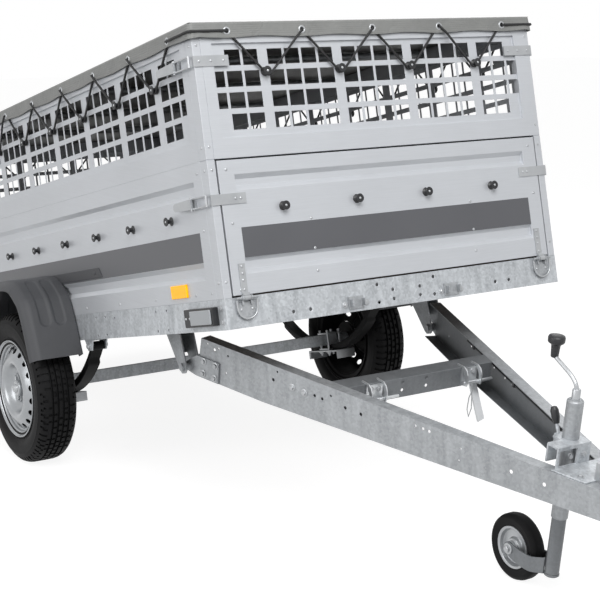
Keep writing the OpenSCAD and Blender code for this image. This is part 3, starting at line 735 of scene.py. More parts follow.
@dataclass(frozen=True)
class PlainCoat(Finish):
    """A paint, plastic, rubber or plated skin: one colour with a fine grain and soft patches of wear."""

    name: str
    slot: str
    dark: str
    light: str
    grain_mm: float
    relief: float
    rough: tuple[float, float]
    metallic: float = 0.0
    patch_mm: float = 60.0
    coat: float = 0.0
    shine: float = 0.5

    def paint(self, tree: Tree, shader: Node, where: Socket) -> None:
        """Blend two shades by patches, and raise a grain.

        Args:
            tree: the material's tree.
            shader: its shader.
            where: the place on the piece.
        """
        patches = add_node(tree, "TexNoise", {"Scale": per_metre(self.patch_mm), "Detail": 4.0},
                           {"Vector": where}).outputs["Fac"]
        grain = add_node(tree, "TexNoise", {"Scale": per_metre(self.grain_mm), "Detail": 2.0},
                         {"Vector": where})
        relief = add_node(tree, "Bump", {"Strength": self.relief, "Distance": 0.0005},
                          {"Height": grain.outputs["Fac"]})
        plain = {"Metallic": self.metallic, "Coat Weight": self.coat, "Specular IOR Level": self.shine}
        self.lay(tree, shader, (self.dark, self.light), patches, plain, patches, relief)


@dataclass(frozen=True)
class CoatedCloth(Finish):
    """Vinyl-coated polyester: a woven scrim printed through a satin grey skin, with soft handling marks."""

    name: str = "vinyl_cloth"
    slot: str = "cover_cloth"
    dark: str = "#757675"
    light: str = "#939492"
    thread_mm: float = 2.4
    pitch: float = 0.0

    def paint(self, tree: Tree, shader: Node, where: Socket) -> None:
        """Weave two sets of threads, drawn at twice their real spacing so that they show.

        Args:
            tree: the material's tree.
            shader: its shader.
            where: the place on the piece.
        """
        flat = add_node(tree, "Mapping", {"Rotation": (0.0, self.pitch, 0.0)}, {"Vector": where})
        # A wave of scale 1 repeats every tau / 20 metres
        spacing = math.tau / 20 / (self.thread_mm * MM)
        warp, weft, upright = [
            add_node(tree, "TexWave", {"bands_direction": way, "Scale": spacing},
                     {"Vector": flat.outputs[0]}).outputs["Fac"] for way in "XYZ"]
        pair = add_node(tree, "Math", {"operation": "MAXIMUM"}, {0: warp, 1: weft})
        weave = add_node(tree, "Math", {"operation": "MAXIMUM"}, {0: pair.outputs[0], 1: upright})
        marks = add_node(tree, "TexNoise", {"Scale": 9.0, "Detail": 6.0, "Roughness": 0.62}, {"Vector": where})
        creases = add_node(tree, "TexNoise", {"Scale": 22.0, "Detail": 3.0, "Distortion": 1.4},
                           {"Vector": where})
        fold = add_node(tree, "Bump", {"Strength": 0.5, "Distance": 0.006}, {"Height": creases.outputs["Fac"]})
        relief = add_node(tree, "Bump", {"Strength": 0.14, "Distance": 0.0004},
                          {"Height": weave.outputs[0], "Normal": fold.outputs[0]})
        self.lay(tree, shader, (self.dark, self.light), marks.outputs["Fac"],
                 {"Roughness": 0.46, "Specular IOR Level": 0.35}, relief=relief)


@dataclass(frozen=True)
class PrismLens(Finish):
    """Moulded acrylic lens: clear glossy skin over small moulded prisms that catch the light, with a painted glow
    where one is set.
    """

    name: str
    slot: str
    dark: str
    light: str
    prism_mm: float = 5.0
    passing: float = 0.0
    painted_glow: float = 0.0
    gloss: float = 0.5

    def paint(self, tree: Tree, shader: Node, where: Socket) -> None:
        """Set rows of prisms, darker along their edges, under a gloss.

        Args:
            tree: the material's tree.
            shader: its shader.
            where: the place on the piece.
        """
        cells = add_node(tree, "TexVoronoi", {"Scale": per_metre(self.prism_mm), "Randomness": 0.0,
                                              "distance": "CHEBYCHEV"}, {"Vector": where}).outputs["Distance"]
        relief = add_node(tree, "Bump", {"Strength": 0.5, "Distance": 0.001}, {"Height": cells})
        # The emission is a painted glow in the lens's own colour: no lamp is lit in it.
        plain = {"Roughness": 0.1, "IOR": 1.49, "Specular IOR Level": self.gloss,
                 "Transmission Weight": self.passing, "Emission Strength": self.painted_glow}
        tint = self.lay(tree, shader, (self.light, self.dark), cells, plain, relief=relief)
        tree.links.new(tint, shader.inputs["Emission Color"])


@dataclass(frozen=True)
class FilmPlywood(Finish):
    """Film-faced birch plywood: dark brown phenolic skin with the veneer's grain faintly through it."""

    name: str = "film_plywood"
    slot: str = "plywood"
    dark: str = "#38281C"
    light: str = "#5A4330"
    grain_mm: float = 12.0

    def paint(self, tree: Tree, shader: Node, where: Socket) -> None:
        """Run the grain along the bed.

        Args:
            tree: the material's tree.
            shader: its shader.
            where: the place on the piece.
        """
        along = add_node(tree, "Mapping", {"Scale": (0.12, 1.0, 1.0)}, {"Vector": where})
        grain = add_node(tree, "TexNoise", {"Scale": per_metre(self.grain_mm), "Detail": 6.0, "Distortion": 0.6},
                         {"Vector": along.outputs[0]}).outputs["Fac"]
        relief = add_node(tree, "Bump", {"Strength": 0.15, "Distance": 0.0005}, {"Height": grain})
        self.lay(tree, shader, (self.dark, self.light), grain, {"Roughness": 0.45}, relief=relief)


@dataclass(frozen=True)
class Palette:
    """Every finish on the trailer."""

    pitch: float

    @property
    def sheet(self) -> Finish:
        """Coated sheet with its grain turned with the bed."""
        return CoatedSheet(pitch=self.pitch)

    @property
    def cloth(self) -> Finish:
        """Cover cloth with its weave turned with the bed."""
        return CoatedCloth(pitch=self.pitch)

    zinc = GalvanisedSteel()
    bright_zinc = GalvanisedSteel("strip_zinc", dark="#878B8F", light="#DFE3E7")
    # Duller, darker zinc: the finish of the crossbar, jockey leg and fork, and painted shade in the hollows of the
    # drawbar arms.
    dull_zinc_and_painted_shade = GalvanisedSteel("weathered_zinc_and_painted_shade", dark="#6A6D70", light="#86898C")
    floor = FilmPlywood()
    # Electroplated fittings: smoother and more even than dipped steel, with soft reflections
    plated = PlainCoat("bright_plated_steel", "zinc", "#9EA1A4", "#C2C4C6", 2.0, 0.04, (0.3, 0.42), 0.6)
    bright = PlainCoat("new_plated_steel", "zinc", "#BEC1C4", "#DCDEE0", 2.0, 0.04, (0.26, 0.36), 0.7)
    # Adhesive vinyl: an even satin grey
    stripe = PlainCoat("stripe_vinyl", "sheet", "#56575B", "#5E5F63", 1.5, 0.03, (0.38, 0.46), patch_mm=200.0)
    # Moulded plastics: a fine grain from the mould
    black = PlainCoat("moulded_black_plastic", "black_plastic", "#17181A", "#222326", 1.2, 0.12, (0.36, 0.5))
    guard = PlainCoat("moulded_grey_plastic", "guard_plastic", "#3C3D40", "#494A4D", 1.6, 0.22, (0.5, 0.62),
                      shine=0.4)
    # Dipped black enamel: nearly no gloss. On the rims' insides it is partly painted shade of the wheels' hollows.
    spring = PlainCoat("black_enamel", "black_steel", "#0A0A0B", "#101011", 6.0, 0.06, (0.5, 0.62), shine=0.12)
    # Tyre rubber: dull black with dusty patches
    rubber = PlainCoat("vulcanised_rubber", "tyre_rubber", "#0E0E0F", "#151516", 1.4, 0.2, (0.55, 0.7),
                       patch_mm=35.0, shine=0.15)
    # Sprayed silver enamel: metal flakes under a thin clear coat
    silver = PlainCoat("silver_enamel", "rim_silver", "#9A9DA0", "#ACAFB2", 1.0, 0.03, (0.26, 0.34), 0.6,
                       coat=0.15)
    # Braided elastic cord: a strong fine grain
    cord = PlainCoat("elastic_cord", "black_plastic", "#121213", "#1E1E20", 2.2, 0.5, (0.6, 0.72), patch_mm=8.0)
    clear = PrismLens("clear_acrylic", "clear_lens", "#8C9196", "#C4C8CC", passing=0.1)
    # The red and amber lenses are given a little painted glow.
    red = PrismLens("red_acrylic", "red_lens", "#8A0C10", "#D02024", painted_glow=0.1)
    amber = PrismLens("amber_acrylic", "amber_lens", "#FFA800", "#FFC000", painted_glow=0.35, gloss=0.25)


def dress(obj: Piece, finish: Finish, body: str, *nodes: str) -> Piece:
    """Give a piece its finish and its body.

    Args:
        obj: the finished piece.
        finish: its finish.
        body: the body that it rides on.
        nodes: the nodes that it stands for.

    Returns:
        The same piece.
    """
    obj.data.materials.clear()
    obj.data.materials.append(finish.material())
    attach(obj, body)
    if nodes:
        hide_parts(*nodes)
    LOG.info("%s on %s", obj.name, body)
    return obj


# The trailer

@dataclass
class Assembly:
    """Pieces that share a working frame and, where they don't move on their own, a body."""

    place: Place
    palette: Palette
    body = "bed"

    def put(self, piece: Piece, finish: Finish, *nodes: str, body: str = "", shade: float = 0.0) -> Piece:
        """Move a piece from the working frame to its place, and dress it.

        Args:
            piece: the piece, in the working frame.
            finish: its finish.
            nodes: the nodes that it stands for.
            body: the body that it rides on, if not the assembly's.
            shade: the sharpest angle in degrees that is shaded smooth, or 0 where that is done.

        Returns:
            The same piece.
        """
        piece.data.transform(self.place.matrix())
        if shade:
            smooth(piece, shade)
        return dress(piece, finish, body or self.body, *nodes)

    def fit(self, node: str, width: float, finish: Finish, body: str = "", **work: object) -> None:
        """Dress a softened copy of a node in its stead.

        Args:
            node: the node's name.
            width: the rounding's width in millimetres.
            finish: its finish.
            body: the body that it rides on, if not the assembly's.
            work: holes, windows and reshape, as softened takes them.
        """
        dress(softened(node, width, self.place, **work), finish, body or self.body, node)

    def fasten(self, name: str, kind: Stud, radius: float, spots: Sequence[Spot], body: str = "",
               finish: Finish | None = None) -> None:
        """Set copies of one fastener.

        Args:
            name: the piece's name.
            kind: which fastener.
            radius: its head's radius in millimetres.
            spots: foot and outward normal of each one.
            body: the body that they ride on, if not the assembly's.
            finish: their finish, if not plated.
        """
        pattern = stud(kind, radius)
        piece = set_out(name, pattern, spots)
        bpy.data.objects.remove(pattern)
        self.put(piece, finish or self.palette.plated, body=body)


@dataclass
class LoadBox(Assembly):
    """Boards, gates, posts and mesh of the bed, with stripes, rivets, straps and cord knobs."""

    length: float
    half_w: float
    stripe: tuple[float, float] = (206.0, 296.0)
    stile: float = 55.0
    post_l: float = 45.0
    gate_half: float = 613.0
    strap_in: float = 70.0
    side_pitch: float = 279.0
    end_pitch: float = 270.0
    board_knob_z: float = 348.0
    mesh_knob_z: float = 756.0
    mesh_in: float = 8.0
    skin: float = 0.6

    def side_bars(self) -> list[float]:
        """Return the places of the wide mesh bars along a side."""
        return [-self.length / 2 + i * self.side_pitch for i in range(-4, 5)]

    def build_sheets(self) -> None:
        """Round and dress the folded sheet parts."""
        board, post, mesh = 3.0, 2.2, 0.7
        for node, width in (("side_board_right", board), ("side_board_left", board), ("posts_right", post),
                            ("posts_left", post), ("mesh_right", mesh), ("mesh_left", mesh),
                            ("mesh_front", mesh), ("mesh_rear", mesh)):
            self.fit(node, width, self.palette.sheet)
        for gate in ("front_gate", "tail_gate"):
            self.fit(gate, board, self.palette.sheet, gate)

    def build_gap_shades(self) -> None:
        """Hang a dark rubber strip behind each gate's top and side gaps, as painted shade that keeps the gaps dark."""
        gap, half, behind = 9.0, 1.5, 27.0
        top = ((-self.gate_half - gap, 484.0), (self.gate_half + gap, 508.0))
        for name, x in (("gap_shade_front", -behind), ("gap_shade_rear", behind - self.length)):
            strips = [top] + [((side * self.gate_half - gap, 330.0), (side * self.gate_half + gap, 490.0))
                              for side, _ in SIDES]
            self.put(joined(name, [rounded(block("strip", (x - half, *low), (x + half, *high)), 0.8)
                                   for low, high in strips]), self.palette.rubber)

    def build_stripes(self) -> None:
        """Lay the bare dark stripes on the boards, between their end folds."""
        low, high = self.stripe
        back, ahead = self.stile + self.post_l - self.length, -self.stile - self.post_l
        across = self.gate_half - self.stile
        half, length, skin, sunk = self.half_w, self.length, self.skin, 0.2
        for name, body, start, end in (
                ("stripe_right", "bed", (back, -half - skin, low), (ahead, -half + sunk, high)),
                ("stripe_left", "bed", (back, half - sunk, low), (ahead, half + skin, high)),
                ("stripe_front", "front_gate", (-sunk, -across, low), (skin, across, high)),
                ("stripe_rear", "tail_gate", (-length - skin, -across, low), (-length + sunk, across, high))):
            piece = block(name, start, end)
            with editing(piece):
                bpy.ops.mesh.select_all(action="SELECT")
                bpy.ops.mesh.bevel(offset=0.25 * MM, segments=1, affect="EDGES")
            self.put(piece, self.palette.stripe, body=body, shade=30.0)

    def build_knobs(self) -> None:
        """Set spool-shaped cord knobs with their screws on the boards, the mesh and the gates."""
        top = 20.2
        pattern = smooth(lathe("knob", [
            (0, -1), (13.4, -1), (14.0, 1.4), (11.0, 3.6), (7.0, 7.0), (6.8, 11.0), (9.0, 15.0), (13.4, 18.0),
            (14.0, 20.2), (12.8, 21.6), (6.4, 22.0), (5.6, 20.4), (0, top)], 16), 40.0)
        ahead, back = Axis.AHEAD.value, Axis.BACK.value
        bed, front, tail = [], [], []
        for x in self.side_bars():
            for side, _ in SIDES:
                bed += flank(side, [x], self.half_w, [self.board_knob_z])
                bed += flank(side, [x], self.half_w - self.mesh_in, [self.mesh_knob_z])
        for y in [(i - 1.5) * self.end_pitch for i in range(4)]:
            bed.append(((-self.mesh_in, y, self.mesh_knob_z), ahead))
            bed.append(((self.mesh_in - self.length, y, self.mesh_knob_z), back))
            front.append(((0, y, self.board_knob_z), ahead))
            tail.append(((-self.length, y, self.board_knob_z), back))
        for node, body, spots in (("cord_knobs", "bed", bed), ("front_gate_knobs", "front_gate", front),
                                  ("tail_gate_knobs", "tail_gate", tail)):
            self.put(set_out(f"{node}_spools", pattern, spots), self.palette.black, node, body=body)
            screws = [(Vector(foot) + Vector(normal) * top, normal) for foot, normal in spots]
            self.fasten(f"{node}_screws", Stud.DOME, 4.0, screws, body)
        bpy.data.objects.remove(pattern)

    def build_fittings(self) -> None:
        """Round the clips and straps, and set their rivets."""
        half, length, strap = self.half_w, self.length, 3.0
        corner_heights = (140, 472, 540, 840)
        self.fit("side_latches", 0.9, self.palette.plated)
        for gate in ("front_gate", "tail_gate"):
            self.fit(f"{gate}_straps", 0.9, self.palette.plated, gate)
        for gate, face, way in (("front_gate", 0.0, Axis.AHEAD), ("tail_gate", -length, Axis.BACK)):
            out = face + strap * way.value[0]
            spots = both_sides(out, [half - self.strap_in], (112, 140, 160, 181), way)
            spots += both_sides(out, (548, 566), [383], way)
            spots += both_sides(face, [585], (112, 310, 470), way)
            spots += both_sides(face, [310], (141, 211, 303), way)
            self.fasten(f"{gate}_rivets", Stud.DOME, 4.5, spots, gate)
        spots = []
        for side, _ in SIDES:
            spots += flank(side, (-72.0, 72.0 - length), half, (112, 300, 470))
            spots += flank(side, [x + 100 for x in self.side_bars()], half, [112])
            spots += flank(side, (-22.0, 22.0 - length), half, corner_heights)
        for face, way in ((0.0, Axis.AHEAD), (-length, Axis.BACK)):
            spots += both_sides(face + strap * way.value[0], (548, 590, 630), [792], way)
            spots += both_sides(face - way.value[0], [631], corner_heights, way)
        self.fasten("bed_rivets", Stud.DOME, 4.2, spots)

    def build(self) -> None:
        """Build everything on the box."""
        self.build_sheets()
        self.build_gap_shades()
        self.build_stripes()
        self.build_knobs()
        self.build_fittings()


@dataclass
class Cover(Assembly):
    """The flat cover: one sheet with a sewn hanging edge, eyelets, and an elastic cord laced round the knobs."""

    box: LoadBox
    top: float = 905.4
    drop: float = 46.0
    thick: float = 1.1
    out: float = 8.2
    sag: float = 7.0
    bows: int = 4
    eyelet_z: float = 878.0
    eyelet_pitch: float = 264.0
    cord_r: float = 3.8
    over_cloth: float = 1.4
    knob_neck: tuple[float, float] = (7.0, 9.0)

    def eyelets(self) -> list[tuple[Vector, Axis]]:
        """Return the eyelets in order round the cover, with the way that each one faces.

        Returns:
            Middle and way of each one.
        """
        box, out = self.box, self.out + self.thick
        half, length, z = box.half_w, box.length, self.eyelet_z
        ends = [(i - 2) * self.eyelet_pitch for i in range(5)]
        first = box.side_bars()[-1] + box.side_pitch / 2
        sides = [first - i * box.side_pitch for i in range(10)]
        return ([(Vector((out, y, z)), Axis.AHEAD) for y in ends]
                + [(Vector((x, half + out, z)), Axis.LEFT) for x in sides]
                + [(Vector((-length - out, y, z)), Axis.BACK) for y in reversed(ends)]
                + [(Vector((x, -half - out, z)), Axis.RIGHT) for x in reversed(sides)])

    def hang(self, spot: Vector) -> Vector:
        """Move one point of the flat sheet and its straight edge to where the cloth lies.

        Args:
            spot: the point, in millimetres; a point of the edge is below the top.

        Returns:
            Where the cloth lies there.
        """
        half, length, near = self.box.half_w, self.box.length, 0.01
        below = self.top - spot.z
        x, y = spot.x, spot.y
        if below < near:
            bay = length / (self.bows + 1)
            between = math.sin(math.pi * (-x % bay) / bay) ** 2
            inside = max(0.0, 1 - (2 * x / length + 1) ** 8) * max(0.0, 1 - (y / half) ** 8)
            ripple = 1.2 * math.sin(0.011 * x + 1.3) * math.sin(0.019 * y + 0.4)
            return Vector((x, y, self.top - inside * (2.6 + self.sag * between + ripple)))
        at_end = abs(abs(x + length / 2) - length / 2) < near
        at_side = abs(abs(y) - half) < near
        across = at_end and not at_side
        along, pitch = (y, self.box.end_pitch) if across else (x, self.box.side_pitch)
        corner = min(abs(x), abs(x + length)) if at_side else half - abs(y)
        reach = min(1.0, below / 6.0)
        depth = below / self.drop
        ribs = 0.25 * math.sin(math.tau * below / 6.5) if 7 < below < 42 else 0.0
        folds = depth * (1.3 * math.sin(0.043 * along + 0.7) + 0.9 * math.sin(0.021 * along + 2.0)
                         + 0.6 * math.sin(0.097 * along))
        folds += 3.4 * depth * math.exp(-(corner / 110) ** 2) * (1 + math.sin(0.13 * corner + 4.0))
        pull_down = depth ** 2 * 2.4 * math.cos(math.tau * along / pitch)
        out = self.out * math.sqrt(reach * (2 - reach)) + ribs + max(-1.4, folds)
        if at_side:
            y = math.copysign(half + out, y)
        if at_end:
            x += math.copysign(out, x + length / 2)
        return Vector((x, y, self.top - below - pull_down))

    def build_sheet(self) -> Piece:
        """Stretch the sheet over the bows, hang its edge and give it its thickness and eyelet holes.

        Returns:
            The dressed sheet.
        """
        half, length = self.box.half_w, self.box.length
        deselect()
        bpy.ops.mesh.primitive_grid_add(
            x_subdivisions=128, y_subdivisions=60, size=1.0, location=(-length / 2 * MM, 0.0, self.top * MM))
        bpy.context.object.scale = (length * MM, 2 * half * MM, 1.0)
        sheet = settled("cover_sheet")
        with editing(sheet, "EDGE"):
            mesh = bmesh.from_edit_mesh(sheet.data)
            for edge in mesh.edges:
                edge.select_set(edge.is_boundary)
            bmesh.update_edit_mesh(sheet.data)
            for row in [1.5] * 4 + [1.6] * 25:
                pull((0.0, 0.0, -row * MM))
            outwards()
        for vertex in sheet.data.vertices:
            vertex.co = self.hang(vertex.co / MM) * MM
        modify(sheet, "BEVEL", width=13.0 * MM, segments=4, limit_method="ANGLE", angle_limit=math.radians(62))
        modify(sheet, "SOLIDIFY", thickness=self.thick * MM, offset=1.0, use_even_offset=True)
        reach = 12
        cut(sheet, [bar("punch", 7.0, spot - Vector(way.value) * reach, spot + Vector(way.value) * reach)
                    for spot, way in self.eyelets()])
        return self.put(sheet, self.palette.cloth, "cover", shade=50.0)

    def build_eyelets(self) -> Piece:
        """Press a rolled steel ring into each eyelet hole.

        Returns:
            The dressed rings.
        """
        pattern = smooth(lathe("eyelet", [
            (7.0, -2.2), (11.0, -1.4), (12.6, 0.0), (12.2, 1.2), (10.4, 2.2), (8.4, 2.2), (7.0, 1.2), (6.4, 0.0),
            (7.0, -2.2)], 20), 60.0)
        rings = set_out("cover_eyelets", pattern, [(spot, way.value) for spot, way in self.eyelets()])
        bpy.data.objects.remove(pattern)
        return self.put(rings, self.palette.plated)

    def strand(self, eyelet: Vector, out: Vector, ahead: bool) -> list[Vector]:
        """Lead a strand from an eyelet to the cover's lower edge.

        Args:
            eyelet: the eyelet's middle.
            out: the way that it faces.
            ahead: whether the strand runs over the cloth, or behind it.

        Returns:
            Points from the eyelet down.
        """
        reach = self.cord_r + self.over_cloth if ahead else -self.thick - self.out / 2
        edge = self.top - self.drop - self.eyelet_z
        return [eyelet + out * reach, eyelet + out * reach + Vector((0, 0, edge - 2))]

    def cord_route(self) -> list[Vector]:
        """Lead the cord from eyelet to knob to eyelet, and straight on round the corners.

        Returns:
            The points of its middle line, in the bed's millimetres.
        """
        box, above = self.box, self.cord_r + self.over_cloth
        neck_r, neck_out = self.knob_neck
        neck = neck_out - box.mesh_in - self.out - self.thick
        eyelets = self.eyelets()
        bays = {way: sum(other is way for _, other in eyelets) - 1 for _, way in eyelets}
        route: list[Vector] = []
        bay = 0
        for (here, way), (there, next_way) in zip(eyelets, eyelets[1:] + eyelets[:1]):
            out, next_out = Vector(way.value), Vector(next_way.value)
            route.append(here.copy())
            if way is not next_way:
                bay = 0
                ends = abs(out.x) > 0.5
                corner = Vector((here.x if ends else there.x, there.y if ends else here.y, self.eyelet_z))
                corner += (out + next_out) * above
                route += [here + out * above, corner - next_out * 9, corner - out * 9, there + next_out * above]
                continue
            middle = (here + there) / 2
            along = (there - here).normalized()
            low = Vector((middle.x, middle.y, box.mesh_knob_z)) + out * neck
            lean = math.atan2((there - here).length / 2, self.eyelet_z - box.mesh_knob_z)
            slip = along * (math.tan(lean) * (self.eyelet_z - self.top + self.drop + 2))
            first = self.strand(here, out, bay > bays[way] // 2)
            last = self.strand(there, out, bay < bays[way] // 2)
            route += [first[0], first[1] + slip]
            for step in range(7):
                angle = math.pi + lean + (math.pi - 2 * lean) * step / 6
                spoke = along * math.cos(angle) + Vector((0, 0, math.sin(angle)))
                route.append(low + spoke * (neck_r + self.cord_r))
            route += [last[1] - slip, last[0]]
            bay += 1
        return route

    def build(self) -> None:
        """Build the cover and what is on it."""
        sheet = self.build_sheet()
        rings = self.build_eyelets()
        self.put(wire("cover_lacing", self.cord_r, self.cord_route()), self.palette.cord)


@dataclass
class Chassis(Assembly):
    """Beams, rails, cross members, floor, brackets, catches and lamps under and round the box."""

    length: float
    half_w: float
    strap_in: float = 70.0
    latch_y: float = 187.0

    def build_frame(self) -> None:
        """Round and dress the galvanised frame, with the front beam and the rails drilled."""
        fold = 1.8
        holes = [((0, y, z), Axis.AHEAD.value, 5.4) for y, z in (
            (-414, 27), (-353, 27), (-99, 74), (-98, 18), (-41, 52), (-40, 23), (65, 51), (64, 23), (122, 75),
            (120, 19), (374, 31), (432, 31))]
        self.fit("front_beam", fold, self.palette.bright_zinc, holes=holes)
        self.fit("rear_beam", fold, self.palette.bright_zinc)
        drilled = [(x, z) for x in (-944, -867, -466, -390) for z in (12, 75)]
        drilled += [(-789, 68), (60 - self.length, 46)]
        for side, way in SIDES:
            holes = [((x, side * self.half_w, z), Axis.LEFT.value, 4.4) for x, z in drilled]
            self.fit(f"rail_{way.name.lower()}", fold, self.palette.bright_zinc, holes=holes)
        for node, width in (("cross_members", 1.5), ("hinge_brackets", 1.2), ("cover_bows", 1.0),
                            ("gate_hinges", 0.9), ("tip_hooks", 1.2)):
            self.fit(node, width, self.palette.zinc)
        self.fit("floor_board", 1.0, self.palette.floor)

    def build_fasteners(self) -> None:
        """Set bolts on the frame and rivets on the gate hinges."""
        half, length = self.half_w, self.length
        hinge = half - self.strap_in
        rivets = [((face, side * hinge + y, 54), way.value)
                  for face, way in ((4.0, Axis.AHEAD), (-4.0 - length, Axis.BACK)) for side, _ in SIDES
                  for y in (-19, 19)]
        self.fasten("hinge_rivets", Stud.DOME, 4.6, rivets)
        bolts = [((0.0, side * self.latch_y + y, 24), Axis.AHEAD.value) for side, _ in SIDES for y in (-40, 40)]
        for side, _ in SIDES:
            bolts += flank(side, (-22, 22 - length), half, (24, 66))
        self.fasten("frame_bolts", Stud.HEX, 6.5, bolts)

    def build_rings(self) -> None:
        """Hang a wire lashing ring from each gate hinge pin."""
        reach, low, pin, out = 34.0, 60.0, 82, 9.0
        arc = [math.pi + math.pi * i / 12 for i in range(13)]
        bow = [(-reach, pin), *((reach * math.cos(a), low + reach * math.sin(a)) for a in arc), (reach, pin)]
        rings = []
        for face in (out, -out - self.length):
            for side, _ in SIDES:
                middle = side * (self.half_w - self.strap_in)
                rings.append(wire("ring", 3.0, [Vector((face, middle + y, z)) for y, z in bow], closed=False))
        self.put(joined("lashing_rings", rings), self.palette.plated)

    def build_lamps(self) -> None:
        """Round the lamps, and set their screws."""
        for node, width, finish in (
                ("lamp_housings", 3.5, self.palette.black), ("marker_lenses", 2.2, self.palette.clear),
                ("tail_lenses", 3.0, self.palette.red), ("side_reflectors", 2.0, self.palette.amber)):
            self.fit(node, width, finish)
        screws = [spot for side, _ in SIDES for spot in flank(side, (-218, -193), self.half_w + 22, [44])]
        screws += both_sides(-self.length - 6, [150], [47], Axis.BACK)
        self.fasten("lamp_screws", Stud.DOME, 4.0, screws)

    def build(self) -> None:
        """Build the whole chassis."""
        self.build_frame()
        self.build_fasteners()
        self.build_rings()
        self.build_lamps()


@dataclass
class RunningGear(Assembly):
    """Wheels, springs, axle and mudguards."""

    length: float
    half_w: float
    axle_aft: float = 25.0
    axle_drop: float = 152.0
    wheel_gap: float = 90.0
    tyre_r: float = 280.0
    tyre_w: float = 152.0
    bead_r: float = 165.0
    rim_r: float = 182.0
    stub_r: float = 20.0
    bolt_circle_r: float = 50.0
    spring_in: float = 37.0
    vents: int = 18
    rim_steps: int = 120
    pitches: int = 66

    @property
    def axle_x(self) -> float:
        """Where the axle is along the bed."""
        return -self.length / 2 - self.axle_aft

    def tyre(self) -> Piece:
        """Turn one tyre upright on its axis, and cut its tread.

        Returns:
            The tyre, as a pattern.
        """
        r, half, rim_r, groove, steps = self.tyre_r, self.tyre_w / 2, self.rim_r, 7.0, self.pitches * 3
        side = [(self.bead_r + 1, half - 16), (rim_r + 3, half - 14), (rim_r + 8, half - 9), (rim_r + 12, half - 10),
                (r - 74, half - 3), (r - 62, half - 0.8), (r - 48, half - 0.4), (r - 40, half - 1.6),
                (r - 36, half - 1.2), (r - 33, half - 3.2), (r - 22, half - 7), (r - 12, half - 14),
                (r - 6, half - 21), (r - 2.2, half - 30)]
        tread = []
        for mid in (-30.0, -10.0, 10.0, 30.0):
            rise = r - 0.5 * (mid / 40) ** 2
            tread += [(rise, mid - 4.2), (rise - groove, mid - 3.2), (rise - groove, mid + 3.2), (rise, mid + 4.2)]
        profile = [(a, -b) for a, b in side] + tread + side[::-1]
        obj = lathe("tyre", profile + profile[:1], steps)

        def in_groove(middle: Vector, normal: Vector) -> bool:
            """Say whether a face of the tread lies in a cross groove.

            Args:
                middle: the face's middle, in millimetres.
                normal: its normal.

            Returns:
                Whether it does.
            """
            out, wide = math.hypot(middle.x, middle.y), abs(middle.z)
            if out < r - 22 or normal.xy.length < 0.35:
                return False
            step = int((math.atan2(middle.y, middle.x) + math.pi) * steps / math.tau + 0.5)
            if wide > 33.0:
                return step % 3 == 0
            return out > r - 3 and wide < 26 and (step + (1 if wide > 7 else 0)) % 3 == 1

        with editing(obj):
            pick(obj, in_groove)
            bpy.ops.mesh.extrude_region_shrink_fatten(TRANSFORM_OT_shrink_fatten={"value": -5.0 * MM})
        return smooth(obj, 32.0)

    def rim(self) -> Piece:
        """Turn one rim upright on its axis: stepped barrel, bowl-shaped disc with its vents, and hub.

        Returns:
            The rim, as a pattern.
        """
        rim_r, bead_r, lip = self.rim_r, self.bead_r, self.tyre_w / 2 - 6
        wall, hub, bore, thick = bead_r - 5, 30.0, self.stub_r + 1, 4
        edge = [(rim_r, lip - 5), (rim_r, lip - 1.5), (rim_r - 1.5, lip), (rim_r - 4, lip - 0.4),
                (rim_r - 5.5, lip - 3), (rim_r - 7.5, lip - 6.5), (rim_r - 11, lip - 8.2), (bead_r, lip - 9.2),
                (bead_r - 3, lip - 11)]
        step = [(wall, lip - 15), (wall - 0.6, 51), (wall - 2.4, 48)]
        bowl = [(154, 46.4), (148, 50.2), (141, 55.4), (133, 61), (125, 66.2), (117, 70.6), (109, 73), (101, 72.4),
                (94.5, 68.6), (89.5, 62.4), (85.5, 55), (80.5, 47.4), (74, 41.4), (66, 37.4), (58, 35.4),
                (hub - 2, 35)]
        back = [(radius, depth - thick) for radius, depth in reversed(bowl)] + [(wall - 3, 40), (wall, 34)]
        far = [(radius, -depth) for radius, depth in reversed(edge)]
        profile = edge + step + bowl + back + far + [(bead_r, 9 - lip), (bead_r, lip - 9)]
        disc = lathe("rim", profile + profile[:1], self.rim_steps)
        vent_foot, vent_top = Vector((136.2, 0, 47.7)), Vector((148.5, 0, 64.7))
        turns = [Matrix.Rotation(math.tau * i / self.vents, 3, "Z") for i in range(self.vents)]
        cut(disc, [bar("vent", 12.0, turn @ vent_foot, turn @ vent_top) for turn in turns])
        boss = [(bore, -46), (64, -46), (64, -36), (hub, -36), (hub, 30), (hub, 55), (hub - 2, 57), (0, 57), (0, 37),
                (bore, 37)]
        return rounded(joined("rim", [disc, lathe("boss", boss + boss[:1], self.rim_steps // 2)]), 0.8, 40.0)

    def build_rim(self, pattern: Piece, centre: Vector, way: Axis) -> None:
        """Put one rim on and part its black inside from its silver outside.

        Args:
            pattern: the upright rim.
            centre: the wheel's middle, in millimetres.
            way: the way that its outside faces.
        """
        name, out = way.name.lower(), Vector(way.value)
        rim = set_out(f"rim_{name}_pressed", pattern, [(centre, out)])

        def inside(spot: Vector, normal: Vector) -> bool:
            """Say whether a face is seen from the axle's side of the wheel.

            Args:
                spot: the face's middle, in millimetres.
                normal: its normal.

            Returns:
                Whether it is.
            """
            depth = (spot - centre).dot(out)
            radius = (spot - centre - out * depth).length
            if radius > self.rim_r - 6:
                return depth < 0
            return depth < 30 or normal.dot(out) < -0.35

        # The inside goes black: partly painted shade of the wheel's hollow, partly the dark paint on the rim's back.
        back = parted(rim, f"rim_{name}_inside", inside)
        self.put(rim, self.palette.silver, f"rim_{name}", body=f"wheel_{name}")
        self.put(back, self.palette.spring, body=f"wheel_{name}")

